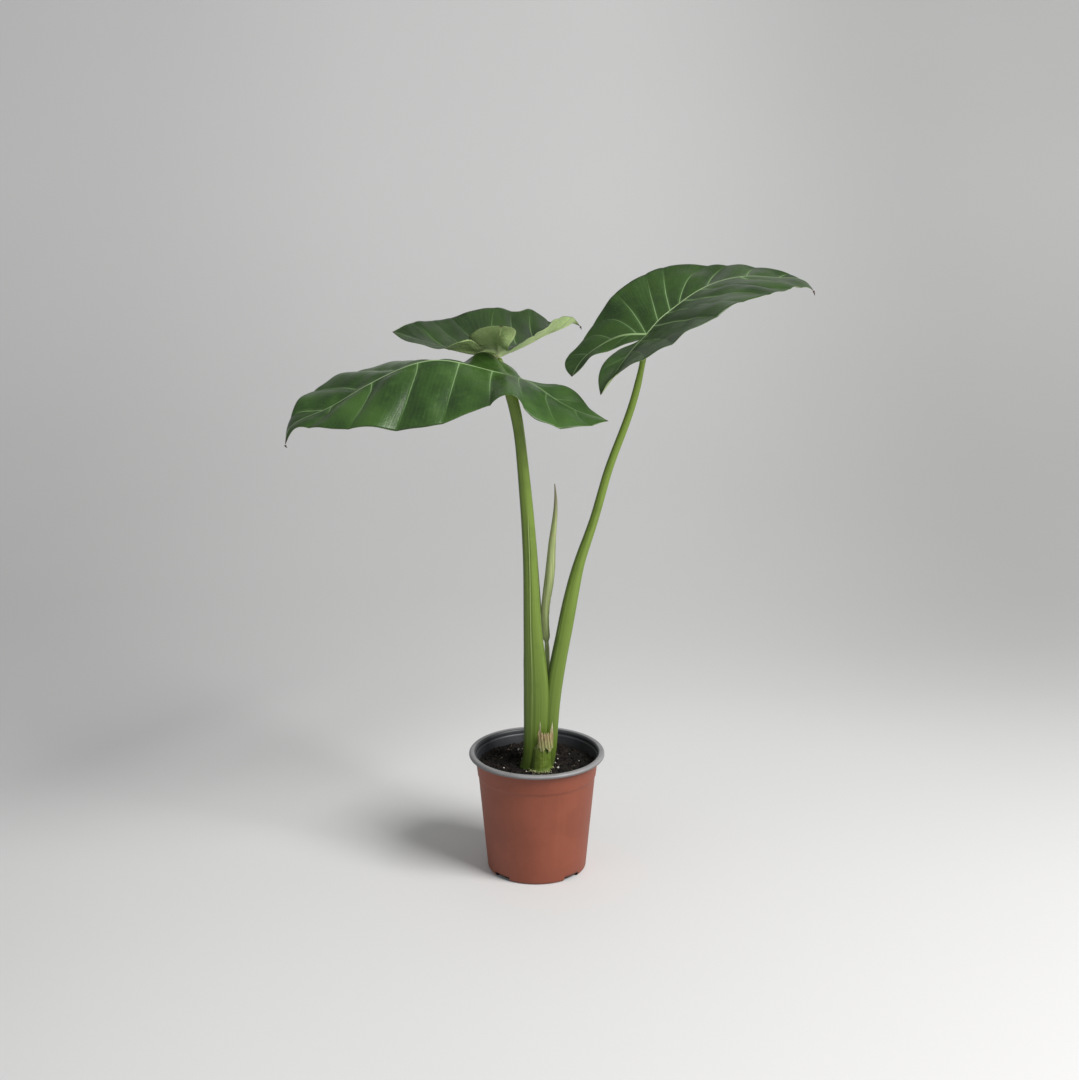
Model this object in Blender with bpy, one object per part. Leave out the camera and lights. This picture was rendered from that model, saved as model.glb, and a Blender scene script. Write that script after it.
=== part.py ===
"""Potted alocasia: a young plant with three arrow-shaped leaves in a thin nursery pot.

The origin is the middle of the pot's flat base, +Z is up, and -Y is the plant's front.
The leaf blades are long and sagittate. Each hangs from the top of its own petiole.
The petioles rise from one short stem, which is rooted in the soil.
"""
import math

import bmesh
import bpy
import numpy as np

# Clearances
FIT_GAP = 0.0003            # between two pieces that touch
JOINT_GAP = 0.0011          # below a blade, where its petiole's narrow end meets it

# Pot: one thin thermoformed shell
POT_HEIGHT = 0.110
RIM_RADIUS = 0.060
RIM_WIDTH = 0.005
RIM_LIP_DEPTH = 0.0024
COLLAR_DEPTH = 0.021
COLLAR_TAPER = 0.0025
COLLAR_STEP = 0.0007
BODY_TAPER = 0.0078         # narrowing of the body from the collar's step to the foot
FOOT_FILLET = 0.003
POT_WALL = 0.001
NOTCH_COUNT = 4
NOTCH_WIDTH = 0.0175
NOTCH_HEIGHT = 0.004
NOTCH_REACH = 0.0045

# Soil
SOIL_DROP = 0.0155          # surface below the rim
SOIL_LUMP = 0.0011
SOIL_LEVEL = POT_HEIGHT - SOIL_DROP

# Stem, with the buried part that holds the roots
STEM_PLACE = (0.0063, -0.0020)
STEM_RADIUS = 0.0088
STEM_RISE = 0.0085          # above the soil
CORM_RADIUS = 0.0112
CORM_DEPTH = 0.027

# Leaves
BLADE_THICKNESS = 0.0006
BLADE_LENGTH_FRONT = 0.202
BLADE_LENGTH_BACK = 0.166
BLADE_LENGTH_RIGHT = 0.175
HEADING_FRONT = 188.0       # degrees, anticlockwise from +X
HEADING_BACK = 66.0
HEADING_RIGHT = 33.0
JOINT_HEIGHT_FRONT = 0.3635  # of the blade's joint above the soil
JOINT_HEIGHT_BACK = 0.3633
JOINT_HEIGHT_RIGHT = 0.3905
PETIOLE_RADIUS = 0.0100     # half width of the widest petiole

# Rolled young leaf and dry sheath
SPEAR_HEIGHT = 0.2600       # of its tip above the soil
SPEAR_RADIUS = 0.0041       # at its fattest
SHEATH_HEIGHT = 0.0430
SHEATH_THICKNESS = 0.0005
SHEATH_RADIUS = 0.0125
SHEATH_SPREAD = 34.0        # degrees to each side of its middle


def clear_scene():
    for old in list(bpy.data.objects):
        bpy.data.objects.remove(old, do_unlink=True)


def material(name, colour, roughness):
    made = bpy.data.materials.new(name)
    made.use_nodes = True
    shader = made.node_tree.nodes["Principled BSDF"]
    shader.inputs["Base Color"].default_value = (*colour, 1.0)
    shader.inputs["Roughness"].default_value = roughness
    shader.inputs["Metallic"].default_value = 0.0
    made.diffuse_color = (*colour, 1.0)
    return made


def add_object(name, mesh, finish, smooth=True):
    """Put a mesh in the scene under the piece's name, with its own finish."""
    made = bpy.data.objects.new(name, mesh)
    bpy.context.scene.collection.objects.link(made)
    mesh.materials.append(finish)
    if smooth:
        mesh.shade_smooth()
        mesh.set_sharp_from_angle(angle=math.radians(40))
    return made


def mesh_from(bm, name):
    bmesh.ops.remove_doubles(bm, verts=bm.verts, dist=0.000002)
    bmesh.ops.recalc_face_normals(bm, faces=bm.faces)
    mesh = bpy.data.meshes.new(name)
    bm.to_mesh(mesh)
    bm.free()
    return mesh


def turned(name, profile, steps, centre=(0.0, 0.0)):
    """Spin a profile of (radius, height) points once round a vertical axis."""
    bm = bmesh.new()
    points = [bm.verts.new((centre[0] + radius, centre[1], height)) for radius, height in profile]
    edges = [bm.edges.new(pair) for pair in zip(points[:-1], points[1:])]
    bmesh.ops.spin(bm, geom=points + edges, cent=(centre[0], centre[1], 0.0), axis=(0, 0, 1),
                   angle=2 * math.pi, steps=steps, use_merge=True)
    return mesh_from(bm, name)


def arc(centre, radius, start, end, count):
    """Points of an arc in the (radius, height) plane, angles in degrees."""
    angles = np.radians(np.linspace(start, end, count))
    return [(centre[0] + radius * math.cos(a), centre[1] + radius * math.sin(a)) for a in angles]


def through(points, stations):
    """Natural cubic curve through points, read at shares of its chord length."""
    points = np.asarray(points, dtype=float)
    knots = np.concatenate([[0.0], np.cumsum(np.linalg.norm(np.diff(points, axis=0), axis=1))])
    knots /= knots[-1]
    gaps = np.diff(knots)
    count = len(points)
    system = np.eye(count)
    pull = np.zeros_like(points)
    for i in range(1, count - 1):
        system[i, i - 1:i + 2] = gaps[i - 1], 2 * (gaps[i - 1] + gaps[i]), gaps[i]
        pull[i] = 6 * ((points[i + 1] - points[i]) / gaps[i] - (points[i] - points[i - 1]) / gaps[i - 1])
    bend = np.linalg.solve(system, pull)
    shares = np.clip(np.asarray(stations, dtype=float), 0.0, 1.0)
    k = np.clip(np.searchsorted(knots, shares, side="right") - 1, 0, count - 2)
    after = (shares - knots[k])[:, None]
    before = (knots[k + 1] - shares)[:, None]
    gap = gaps[k][:, None]
    return ((bend[k] * before ** 3 + bend[k + 1] * after ** 3) / (6 * gap)
            + (points[k] / gap - bend[k] * gap / 6) * before
            + (points[k + 1] / gap - bend[k + 1] * gap / 6) * after)


# ---------------------------------------------------------------- pot

COLLAR_RADIUS = RIM_RADIUS - RIM_WIDTH
COLLAR_FOOT_RADIUS = COLLAR_RADIUS - COLLAR_TAPER
BODY_RADIUS = COLLAR_FOOT_RADIUS - COLLAR_STEP
FOOT_RADIUS = BODY_RADIUS - BODY_TAPER
COLLAR_BOTTOM = POT_HEIGHT - COLLAR_DEPTH


def inner_radius(height):
    """Inside radius of the pot at a height, below the collar or inside it."""
    if height >= COLLAR_BOTTOM:
        share = (height - COLLAR_BOTTOM) / COLLAR_DEPTH
        return COLLAR_FOOT_RADIUS + share * COLLAR_TAPER - POT_WALL
    share = (height - FOOT_FILLET) / (COLLAR_BOTTOM - FOOT_FILLET)
    return FOOT_RADIUS + share * (BODY_RADIUS - FOOT_RADIUS) - POT_WALL


def make_pot():
    """Flat base, tapered body, stepped collar and a flange with a turned-down lip."""
    inner_fillet = FOOT_FILLET - POT_WALL
    fillet_centre = (FOOT_RADIUS - FOOT_FILLET, FOOT_FILLET)
    lip_top = POT_HEIGHT - POT_WALL
    outside = [(0.0, 0.0)]
    outside += arc(fillet_centre, FOOT_FILLET, -90, 0, 5)
    outside += [(BODY_RADIUS, COLLAR_BOTTOM), (COLLAR_FOOT_RADIUS, COLLAR_BOTTOM + COLLAR_STEP)]
    outside += [(COLLAR_RADIUS, lip_top), (RIM_RADIUS - POT_WALL, lip_top)]
    outside += [(RIM_RADIUS - POT_WALL, POT_HEIGHT - RIM_LIP_DEPTH), (RIM_RADIUS, POT_HEIGHT - RIM_LIP_DEPTH)]
    outside += arc((RIM_RADIUS - POT_WALL, lip_top), POT_WALL, 0, 90, 4)
    inside = [(COLLAR_RADIUS - POT_WALL / 2, POT_HEIGHT), (inner_radius(lip_top), lip_top)]
    inside += [(inner_radius(COLLAR_BOTTOM + COLLAR_STEP), COLLAR_BOTTOM + COLLAR_STEP)]
    inside += [(inner_radius(COLLAR_BOTTOM - POT_WALL), COLLAR_BOTTOM - POT_WALL)]
    inside += arc(fillet_centre, inner_fillet, 0, -90, 4)
    inside += [(0.0, POT_WALL)]
    finish = material("terracotta_plastic", (0.205, 0.058, 0.030), 0.45)
    pot = add_object("pot", turned("pot", outside + inside, 64), finish)
    for i in range(NOTCH_COUNT):
        cut_notch(pot, math.radians(360 / NOTCH_COUNT * (i + 0.5)))
    return pot


def cut_notch(pot, angle):
    """A drain opening through the corner where the wall meets the base."""
    bm = bmesh.new()
    bmesh.ops.create_cube(bm, size=1.0)
    reach_in = FOOT_RADIUS - NOTCH_REACH
    reach_out = FOOT_RADIUS + NOTCH_REACH
    bmesh.ops.scale(bm, vec=(reach_out - reach_in, NOTCH_WIDTH, 2 * NOTCH_HEIGHT), verts=bm.verts)
    bmesh.ops.translate(bm, vec=((reach_in + reach_out) / 2, 0, 0), verts=bm.verts)
    cutter = bpy.data.objects.new("notch_cutter", mesh_from(bm, "notch_cutter"))
    bpy.context.scene.collection.objects.link(cutter)
    cutter.rotation_euler = (0, 0, angle)
    cutter.hide_render = True
    cutter.display_type = "WIRE"
    cut = pot.modifiers.new("notch", "BOOLEAN")
    cut.operation = "DIFFERENCE"
    cut.solver = "EXACT"
    cut.object = cutter


# ---------------------------------------------------------------- stem and soil

STEM_TOP = SOIL_LEVEL + STEM_RISE
CORM_BOTTOM = SOIL_LEVEL - CORM_DEPTH


def stem_profile(spare):
    """Half outline of the stem: a round corm below the soil and a short neck above it."""
    corm_middle = SOIL_LEVEL - CORM_DEPTH * 0.55
    return [(0.0, CORM_BOTTOM - spare),
            (CORM_RADIUS * 0.55 + spare, CORM_BOTTOM - spare),
            (CORM_RADIUS * 0.90 + spare, corm_middle - CORM_DEPTH * 0.25),
            (CORM_RADIUS + spare, corm_middle),
            (CORM_RADIUS * 0.93 + spare, corm_middle + CORM_DEPTH * 0.30),
            (STEM_RADIUS * 1.03 + spare, SOIL_LEVEL - 0.001)]


def make_stem():
    profile = stem_profile(0.0) + [
        (STEM_RADIUS, SOIL_LEVEL + STEM_RISE * 0.5),
        (STEM_RADIUS * 0.96, STEM_TOP - 0.0008),
        (STEM_RADIUS * 0.88, STEM_TOP),
        (0.0, STEM_TOP)]
    finish = material("stem_green", (0.130, 0.190, 0.045), 0.50)
    return add_object("stem", turned("stem", profile, 24, STEM_PLACE), finish)


def lumps(x, y):
    """Height of the crumbly surface: a few crossing waves."""
    waves = ((310, 190, 0.4), (-230, 420, 1.9), (560, -350, 3.1), (150, 640, 0.8))
    return SOIL_LUMP * sum(math.sin(x * a + y * b + c) for a, b, c in waves) / 2


def make_soil():
    """Soil that fills the pot below its surface, with a socket for the buried stem."""
    bottom = POT_WALL + FIT_GAP
    corner = FOOT_FILLET - POT_WALL - FIT_GAP
    foot = FOOT_RADIUS - POT_WALL - FIT_GAP
    edge = inner_radius(SOIL_LEVEL) - FIT_GAP
    step = COLLAR_BOTTOM - POT_WALL
    profile = [(0.0, bottom)] + arc((foot - corner, bottom + corner), corner, -90, 0, 4)
    profile += [(inner_radius(step) - FIT_GAP, step), (edge, SOIL_LEVEL)]
    profile += [(edge * share, SOIL_LEVEL) for share in (0.92, 0.80, 0.67, 0.54, 0.41, 0.28, 0.14)]
    profile += [(0.0, SOIL_LEVEL)]
    mesh = turned("soil", profile, 40)
    for vertex in mesh.vertices:
        inside = math.hypot(vertex.co.x, vertex.co.y) < 0.95 * edge
        if inside and vertex.co.z > SOIL_LEVEL - 0.0001:
            vertex.co.z += lumps(vertex.co.x, vertex.co.y)
    soil = add_object("soil", mesh, material("potting_soil", (0.016, 0.013, 0.011), 0.95))
    socket = stem_profile(FIT_GAP) + [
        (STEM_RADIUS * 1.03 + FIT_GAP, STEM_TOP + 0.01), (0.0, STEM_TOP + 0.01)]
    cutter = bpy.data.objects.new("socket_cutter", turned("socket_cutter", socket, 24, STEM_PLACE))
    bpy.context.scene.collection.objects.link(cutter)
    cutter.hide_render = True
    cutter.display_type = "WIRE"
    cut = soil.modifiers.new("socket", "BOOLEAN")
    cut.operation = "DIFFERENCE"
    cut.solver = "EXACT"
    cut.object = cutter
    return soil


# ---------------------------------------------------------------- petioles

SECTION_SIDES = 14
SECTION_RINGS = 20


def stalk(name, route, radius, sections, finish):
    """A closed stalk: ellipses carried along a route.

    route holds (x, y, z) points and sections the half width and half depth at each of them,
    as shares of radius.
    """
    stations = np.linspace(0.0, 1.0, SECTION_RINGS)
    centres = through(route, stations)
    chord = np.concatenate([[0.0], np.cumsum(np.linalg.norm(np.diff(route, axis=0), axis=1))])
    half_width = radius * np.interp(stations, chord / chord[-1], [s[0] for s in sections])
    half_depth = radius * np.interp(stations, chord / chord[-1], [s[1] for s in sections])
    along = np.gradient(centres, axis=0)
    along /= np.linalg.norm(along, axis=1)[:, None]
    across = np.cross([0.0, 1.0, 0.0], along)
    across /= np.linalg.norm(across, axis=1)[:, None]
    deep = np.cross(along, across)
    bm = bmesh.new()
    loops = []
    for centre, wide, thick, side, back in zip(centres, half_width, half_depth, across, deep):
        ring = []
        for k in range(SECTION_SIDES):
            turn = 2 * math.pi * k / SECTION_SIDES
            ring.append(bm.verts.new(centre + side * wide * math.cos(turn) + back * thick * math.sin(turn)))
        loops.append(ring)
    for low, high in zip(loops[:-1], loops[1:]):
        for k in range(SECTION_SIDES):
            follow = (k + 1) % SECTION_SIDES
            bm.faces.new((low[k], low[follow], high[follow], high[k]))
    bm.faces.new(loops[0])
    bm.faces.new(loops[-1])
    return add_object(name, mesh_from(bm, name), finish)


FOOT_LEVEL = STEM_TOP + FIT_GAP
LAYOUT_RADIUS = 0.0100         # the petiole radius that the routes below are laid out for
LAYOUT_LENGTH = 0.202          # the front blade's length that they are laid out for
SPREAD = PETIOLE_RADIUS / LAYOUT_RADIUS
BACK_LEAN = 0.30 * (BLADE_LENGTH_FRONT - LAYOUT_LENGTH)    # keeps the back leaf clear of the front blade


def rising(height, shape, lean=0.0):
    """Route from the stem's top to a height above the soil.

    shape holds (x, y, share of the rise), with x and y from the stem's middle. Thicker petioles
    spread out in proportion, and lean is how much further back than that the route ends.
    """
    rise = SOIL_LEVEL + height - FOOT_LEVEL
    return np.array([(STEM_PLACE[0] + x * SPREAD, STEM_PLACE[1] + y * SPREAD + share * lean,
                      FOOT_LEVEL + share * rise) for x, y, share in shape])


def under_blade(route):
    """Shorten a route's end so that it stops just below the blade it carries."""
    shortened = route.copy()
    shortened[-1, 2] -= BLADE_THICKNESS / 2 + JOINT_GAP
    return shortened


ROUTE_FRONT = rising(JOINT_HEIGHT_FRONT, (
    (-0.0095, -0.0050, 0.0), (-0.0083, -0.0065, 0.14), (-0.0081, -0.0095, 0.24),
    (-0.0100, -0.0130, 0.375), (-0.0114, -0.0160, 0.50), (-0.0139, -0.0195, 0.635),
    (-0.0177, -0.0230, 0.765), (-0.0213, -0.0245, 0.855), (-0.0284, -0.0265, 0.94),
    (-0.0353, -0.0280, 1.0)))
SECTIONS_FRONT = (
    (0.80, 0.52), (0.95, 0.58), (1.00, 0.60), (0.77, 0.56), (0.64, 0.52),
    (0.57, 0.48), (0.50, 0.44), (0.44, 0.41), (0.37, 0.36), (0.12, 0.12))
ROUTE_BACK = rising(JOINT_HEIGHT_BACK, (
    (-0.0075, 0.0096, 0.0), (-0.0071, 0.0105, 0.14), (-0.0073, 0.0125, 0.30), (-0.0095, 0.0160, 0.45),
    (-0.0137, 0.0220, 0.62), (-0.0193, 0.0295, 0.78), (-0.0281, 0.0385, 0.92), (-0.0397, 0.0440, 1.0)),
    BACK_LEAN)
SECTIONS_BACK = (
    (0.70, 0.48), (0.72, 0.50), (0.64, 0.48), (0.55, 0.45),
    (0.48, 0.42), (0.42, 0.38), (0.34, 0.33), (0.12, 0.12))
ROUTE_RIGHT = rising(JOINT_HEIGHT_RIGHT, (
    (0.0059, -0.0022, 0.0), (0.0083, -0.0022, 0.145), (0.0125, -0.0020, 0.235), (0.0177, -0.0015, 0.315),
    (0.0237, -0.0010, 0.400), (0.0297, -0.0005, 0.470), (0.0425, 0.0000, 0.575), (0.0557, 0.0005, 0.700),
    (0.0707, 0.0010, 0.810), (0.0805, 0.0015, 0.905), (0.0865, 0.0020, 1.0)))
SECTIONS_RIGHT = (
    (0.54, 0.50), (0.62, 0.52), (0.68, 0.54), (0.70, 0.54), (0.66, 0.52), (0.52, 0.48),
    (0.41, 0.41), (0.38, 0.38), (0.35, 0.35), (0.31, 0.31), (0.12, 0.12))


def make_petioles():
    for side, route, sections in (("front", ROUTE_FRONT, SECTIONS_FRONT),
                                  ("back", ROUTE_BACK, SECTIONS_BACK),
                                  ("right", ROUTE_RIGHT, SECTIONS_RIGHT)):
        finish = material("petiole_" + side + "_green", (0.200, 0.320, 0.075), 0.45)
        stalk("petiole_" + side, under_blade(route), PETIOLE_RADIUS, sections, finish)


# ---------------------------------------------------------------- rolled leaf and dry sheath

def make_spear_leaf():
    """A young leaf, still rolled up, on its thin stalk between the petioles."""
    route = rising(SPEAR_HEIGHT, (
        (0.0023, 0.0082, 0.0), (0.0031, 0.0080, 0.30), (0.0023, 0.0078, 0.43),
        (0.0009, 0.0076, 0.52), (0.0019, 0.0074, 0.58), (0.0044, 0.0072, 0.66),
        (0.0071, 0.0070, 0.80), (0.0100, 0.0068, 0.93), (0.0091, 0.0067, 1.0)))
    girths = (0.32, 0.29, 0.37, 0.68, 0.88, 1.00, 0.68, 0.37, 0.07)
    sections = [(share, share) for share in girths]
    finish = material("spear_green", (0.370, 0.450, 0.180), 0.50)
    stalk("spear_leaf", route, SPEAR_RADIUS, sections, finish)


def make_cataphyll():
    """The dry, papery rest of the first sheath leaf, curved round the front of the petioles."""
    columns = 8
    rows = 8
    notch_depth = 0.22          # of the height, between the two points at its top
    lean = 0.0035 * SPREAD      # of its top, towards the front
    radius = SHEATH_RADIUS * SPREAD
    bm = bmesh.new()
    grid = []
    for j in range(rows + 1):
        share = j / rows
        spread = math.radians(SHEATH_SPREAD - 4 * share)
        middle = math.radians(276 + 2 * share)
        line = []
        for i in range(columns + 1):
            across = 2 * i / columns - 1
            turn = middle + spread * across
            notch = 1.0 - notch_depth * share * (1 - abs(across)) ** 2
            x = STEM_PLACE[0] + radius * math.cos(turn)
            y = STEM_PLACE[1] - SHEATH_THICKNESS - lean * share + radius * math.sin(turn)
            line.append(bm.verts.new((x, y, FOOT_LEVEL + SHEATH_HEIGHT * share * notch)))
        grid.append(line)
    for low, high in zip(grid[:-1], grid[1:]):
        for i in range(columns):
            bm.faces.new((low[i], low[i + 1], high[i + 1], high[i]))
    sheath = add_object("cataphyll", mesh_from(bm, "cataphyll"), material("dry_sheath", (0.400, 0.310, 0.150), 0.80))
    shell = sheath.modifiers.new("shell", "SOLIDIFY")
    shell.thickness = SHEATH_THICKNESS
    shell.offset = 0.0
    return sheath


# ---------------------------------------------------------------- leaf blades

LOBE_STEPS = 8
BLADE_STEPS = 18
RIB_STEPS = 4
SINUS_STEPS = 2
JOINT_TURN = 0.37           # share of the outer margin that belongs to the lobe

# Each blade is laid out in shares of its own length, from its joint with the petiole:
# x forward to the tip, y to the blade's left, z up. The costa is the main vein of a lobe.
SHAPE_FRONT = {
    "midrib": ((0, 0, 0), (0.10, 0, 0.030), (0.19, 0, 0.055), (0.29, 0, 0.064), (0.45, 0, 0.018),
               (0.60, 0.01, -0.055), (0.75, 0.01, -0.135), (0.88, 0.02, -0.205), (0.895, 0.02, -0.265)),
    "left": {
        "costa": ((0, 0, 0), (-0.11, 0.05, -0.03), (-0.19, 0.10, -0.08), (-0.29, 0.16, -0.13), (-0.41, 0.22, -0.16)),
        "margin": ((-0.41, 0.22, -0.16), (-0.33, 0.26, -0.165), (-0.22, 0.295, -0.162), (-0.13, 0.30, -0.14),
                   (-0.07, 0.30, -0.10), (-0.02, 0.295, -0.040), (0.04, 0.29, -0.032), (0.13, 0.27, -0.075),
                   (0.24, 0.265, -0.13), (0.36, 0.26, -0.155), (0.50, 0.245, -0.155), (0.62, 0.215, -0.155),
                   (0.75, 0.15, -0.168), (0.85, 0.06, -0.185), (0.895, 0.02, -0.265)),
        "sinus": ((-0.03, -0.01, -0.01), (-0.10, -0.01, -0.035), (-0.16, 0, -0.045), (-0.22, 0.025, -0.04),
                  (-0.29, 0.07, -0.065), (-0.35, 0.14, -0.125), (-0.41, 0.22, -0.16)),
        "crown": 0.020},
    "right": {
        "costa": ((0, 0, 0), (-0.09, -0.07, -0.05), (-0.20, -0.13, -0.13), (-0.31, -0.19, -0.21), (-0.40, -0.23, -0.26)),
        "margin": ((-0.40, -0.23, -0.26), (-0.29, -0.29, -0.24), (-0.17, -0.30, -0.13), (-0.09, -0.30, -0.055),
                   (-0.02, -0.285, 0.005), (0.05, -0.28, 0.025), (0.15, -0.28, -0.008), (0.27, -0.285, -0.015),
                   (0.44, -0.28, -0.008), (0.60, -0.24, -0.025), (0.755, -0.18, -0.068), (0.86, -0.07, -0.14),
                   (0.895, 0.02, -0.265)),
        "sinus": ((-0.03, -0.01, -0.01), (-0.12, -0.05, -0.07), (-0.22, -0.10, -0.15), (-0.32, -0.165, -0.22),
                  (-0.40, -0.23, -0.26)),
        "crown": 0.006}}
SHAPE_BACK = {
    "midrib": ((0, 0, 0), (0.13, 0, 0), (0.30, 0, -0.005), (0.59, 0, 0), (0.77, -0.01, 0), (0.91, -0.02, 0.005),
               (1.00, -0.02, -0.01), (1.02, -0.03, -0.03)),
    "left": {
        "costa": ((0, 0, 0), (-0.09, 0.03, 0.03), (-0.15, 0.07, 0.04), (-0.22, 0.13, 0.065), (-0.28, 0.20, 0.09),
                  (-0.35, 0.30, 0.13), (-0.41, 0.40, 0.17)),
        "margin": ((-0.41, 0.40, 0.17), (-0.32, 0.39, 0.18), (-0.22, 0.37, 0.19), (-0.11, 0.345, 0.18),
                   (0.01, 0.31, 0.17), (0.21, 0.245, 0.18), (0.40, 0.17, 0.17), (0.54, 0.12, 0.13), (0.63, 0.10, 0.13),
                   (0.70, 0.08, 0.09), (0.80, 0.05, 0.03), (0.91, 0.00, 0.01), (1.02, -0.03, -0.03)),
        "sinus": ((-0.06, 0.03, 0.03), (-0.20, 0.02, 0.10), (-0.29, 0.04, 0.14), (-0.33, 0.07, 0.13),
                  (-0.38, 0.13, 0.10), (-0.42, 0.22, 0.12), (-0.43, 0.33, 0.14), (-0.41, 0.40, 0.17)),
        "crown": -0.03},
    "right": {
        "costa": ((0, 0, 0), (-0.09, -0.04, 0.06), (-0.19, -0.09, 0.13), (-0.26, -0.14, 0.22)),
        "margin": ((-0.26, -0.14, 0.22), (-0.24, -0.18, 0.21), (-0.215, -0.20, 0.19), (-0.22, -0.19, 0.145),
                   (-0.235, -0.165, 0.10), (-0.21, -0.15, 0.076), (-0.12, -0.15, 0.08), (-0.02, -0.155, 0.088),
                   (0.19, -0.14, 0.0975), (0.42, -0.11, 0.10), (0.68, -0.08, 0.09), (0.88, -0.05, 0.045),
                   (1.02, -0.03, -0.03)),
        "sinus": ((-0.06, 0.03, 0.03), (-0.17, 0.03, 0.09), (-0.24, 0.05, 0.14), (-0.28, -0.02, 0.19),
                  (-0.28, -0.07, 0.21), (-0.26, -0.14, 0.22)),
        "crown": -0.01}}
SHAPE_RIGHT = {
    "midrib": ((0, 0, 0), (0.08, 0.01, 0.06), (0.16, 0.02, 0.10), (0.31, 0.045, 0.16), (0.51, 0.06, 0.205),
               (0.69, 0.06, 0.205), (0.87, 0.05, 0.18), (1.00, 0.03, 0.15), (1.04, 0.02, 0.105)),
    "left": {
        "costa": ((0, 0, 0), (-0.10, 0.08, -0.01), (-0.19, 0.13, -0.06), (-0.27, 0.165, -0.13), (-0.32, 0.17, -0.20)),
        "margin": ((-0.32, 0.17, -0.20), (-0.33, 0.21, -0.165), (-0.30, 0.24, -0.115), (-0.25, 0.24, -0.075),
                   (-0.16, 0.25, 0.01), (-0.10, 0.26, 0.06), (0.01, 0.27, 0.16), (0.10, 0.265, 0.215),
                   (0.19, 0.26, 0.25), (0.30, 0.26, 0.26), (0.46, 0.25, 0.26), (0.59, 0.23, 0.24), (0.71, 0.20, 0.243),
                   (0.83, 0.16, 0.225), (0.95, 0.08, 0.185), (1.04, 0.02, 0.105)),
        "sinus": ((-0.04, 0, -0.02), (-0.11, 0.03, -0.05), (-0.19, 0.07, -0.09), (-0.25, 0.10, -0.105),
                  (-0.28, 0.13, -0.155), (-0.32, 0.17, -0.20)),
        "crown": -0.005},
    "right": {
        "costa": ((0, 0, 0), (-0.09, -0.06, -0.02), (-0.20, -0.13, -0.055), (-0.31, -0.18, -0.12), (-0.40, -0.19, -0.21)),
        "margin": ((-0.40, -0.19, -0.21), (-0.395, -0.24, -0.15), (-0.36, -0.30, -0.08), (-0.26, -0.36, -0.01),
                   (-0.13, -0.39, 0.045), (0, -0.395, 0.095), (0.10, -0.39, 0.14), (0.19, -0.38, 0.17),
                   (0.29, -0.36, 0.185), (0.39, -0.335, 0.195), (0.51, -0.29, 0.19), (0.67, -0.21, 0.18),
                   (0.86, -0.09, 0.165), (1.04, 0.02, 0.105)),
        "sinus": ((-0.04, 0, -0.02), (-0.16, -0.04, -0.03), (-0.28, -0.09, -0.05), (-0.33, -0.12, -0.09),
                  (-0.38, -0.15, -0.14), (-0.40, -0.19, -0.21)),
        "crown": 0.012}}


def ruled(inner, outer, steps, crown):
    """Sheet between two edges, its ribs bowed upwards by crown times their share of the longest rib."""
    v = np.linspace(0.0, 1.0, steps + 1)
    sheet = inner[:, None] * (1 - v)[None, :, None] + outer[:, None] * v[None, :, None]
    span = np.linalg.norm(outer - inner, axis=1)
    sheet[..., 2] += (crown * span / span.max())[:, None] * (4 * v * (1 - v))[None, :]
    return sheet


def half_blade(shape, side):
    """The two sheets of one half: costa and midrib to the outer margin, and costa to the sinus edge."""
    half = shape[side]
    costa = through(half["costa"][::-1], np.linspace(0, 1, LOBE_STEPS + 1))
    midrib = through(shape["midrib"], np.linspace(0, 1, BLADE_STEPS + 1))
    stations = np.concatenate([np.linspace(0, JOINT_TURN, LOBE_STEPS + 1)[:-1],
                               np.linspace(JOINT_TURN, 1, BLADE_STEPS + 1)])
    outer = through(half["margin"], stations)
    main = ruled(np.vstack([costa[:-1], midrib]), outer, RIB_STEPS, half["crown"])
    sinus = through(half["sinus"][::-1], np.linspace(0, 1, LOBE_STEPS + 1))
    return main, ruled(costa, sinus, SINUS_STEPS, 0.0)


def make_blade(name, shape, length, heading, route, finish):
    """A closed thin blade that sits on the end of its petiole's route."""
    bm = bmesh.new()
    for side in ("left", "right"):
        for sheet in half_blade(shape, side):
            grid = [[bm.verts.new(point * length) for point in line] for line in sheet]
            for low, high in zip(grid[:-1], grid[1:]):
                for i in range(len(low) - 1):
                    bm.faces.new((low[i], low[i + 1], high[i + 1], high[i]))
    bmesh.ops.remove_doubles(bm, verts=bm.verts, dist=0.00001)
    bmesh.ops.dissolve_degenerate(bm, edges=bm.edges, dist=0.00001)
    blade = add_object(name, mesh_from(bm, name), finish)
    blade.location = route[-1]
    blade.rotation_euler = (0, 0, math.radians(heading))
    shell = blade.modifiers.new("shell", "SOLIDIFY")
    shell.thickness = BLADE_THICKNESS
    shell.offset = 0.0
    return blade


def make_blades():
    for side, shape, length, heading, route in (
            ("front", SHAPE_FRONT, BLADE_LENGTH_FRONT, HEADING_FRONT, ROUTE_FRONT),
            ("back", SHAPE_BACK, BLADE_LENGTH_BACK, HEADING_BACK, ROUTE_BACK),
            ("right", SHAPE_RIGHT, BLADE_LENGTH_RIGHT, HEADING_RIGHT, ROUTE_RIGHT)):
        finish = material("leaf_" + side + "_green", (0.040, 0.105, 0.025), 0.38)
        make_blade("leaf_blade_" + side, shape, length, heading, route, finish)


clear_scene()
make_pot()
make_stem()
make_soil()
make_petioles()
make_spear_leaf()
make_cataphyll()
make_blades()
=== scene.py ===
"""Potted alocasia: the finished look of a young plant in its nursery pot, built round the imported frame.

The plant stands upright on +Z, and -Y is its front. Everything is in metres, in the frame's own place.
"""
import math

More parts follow.
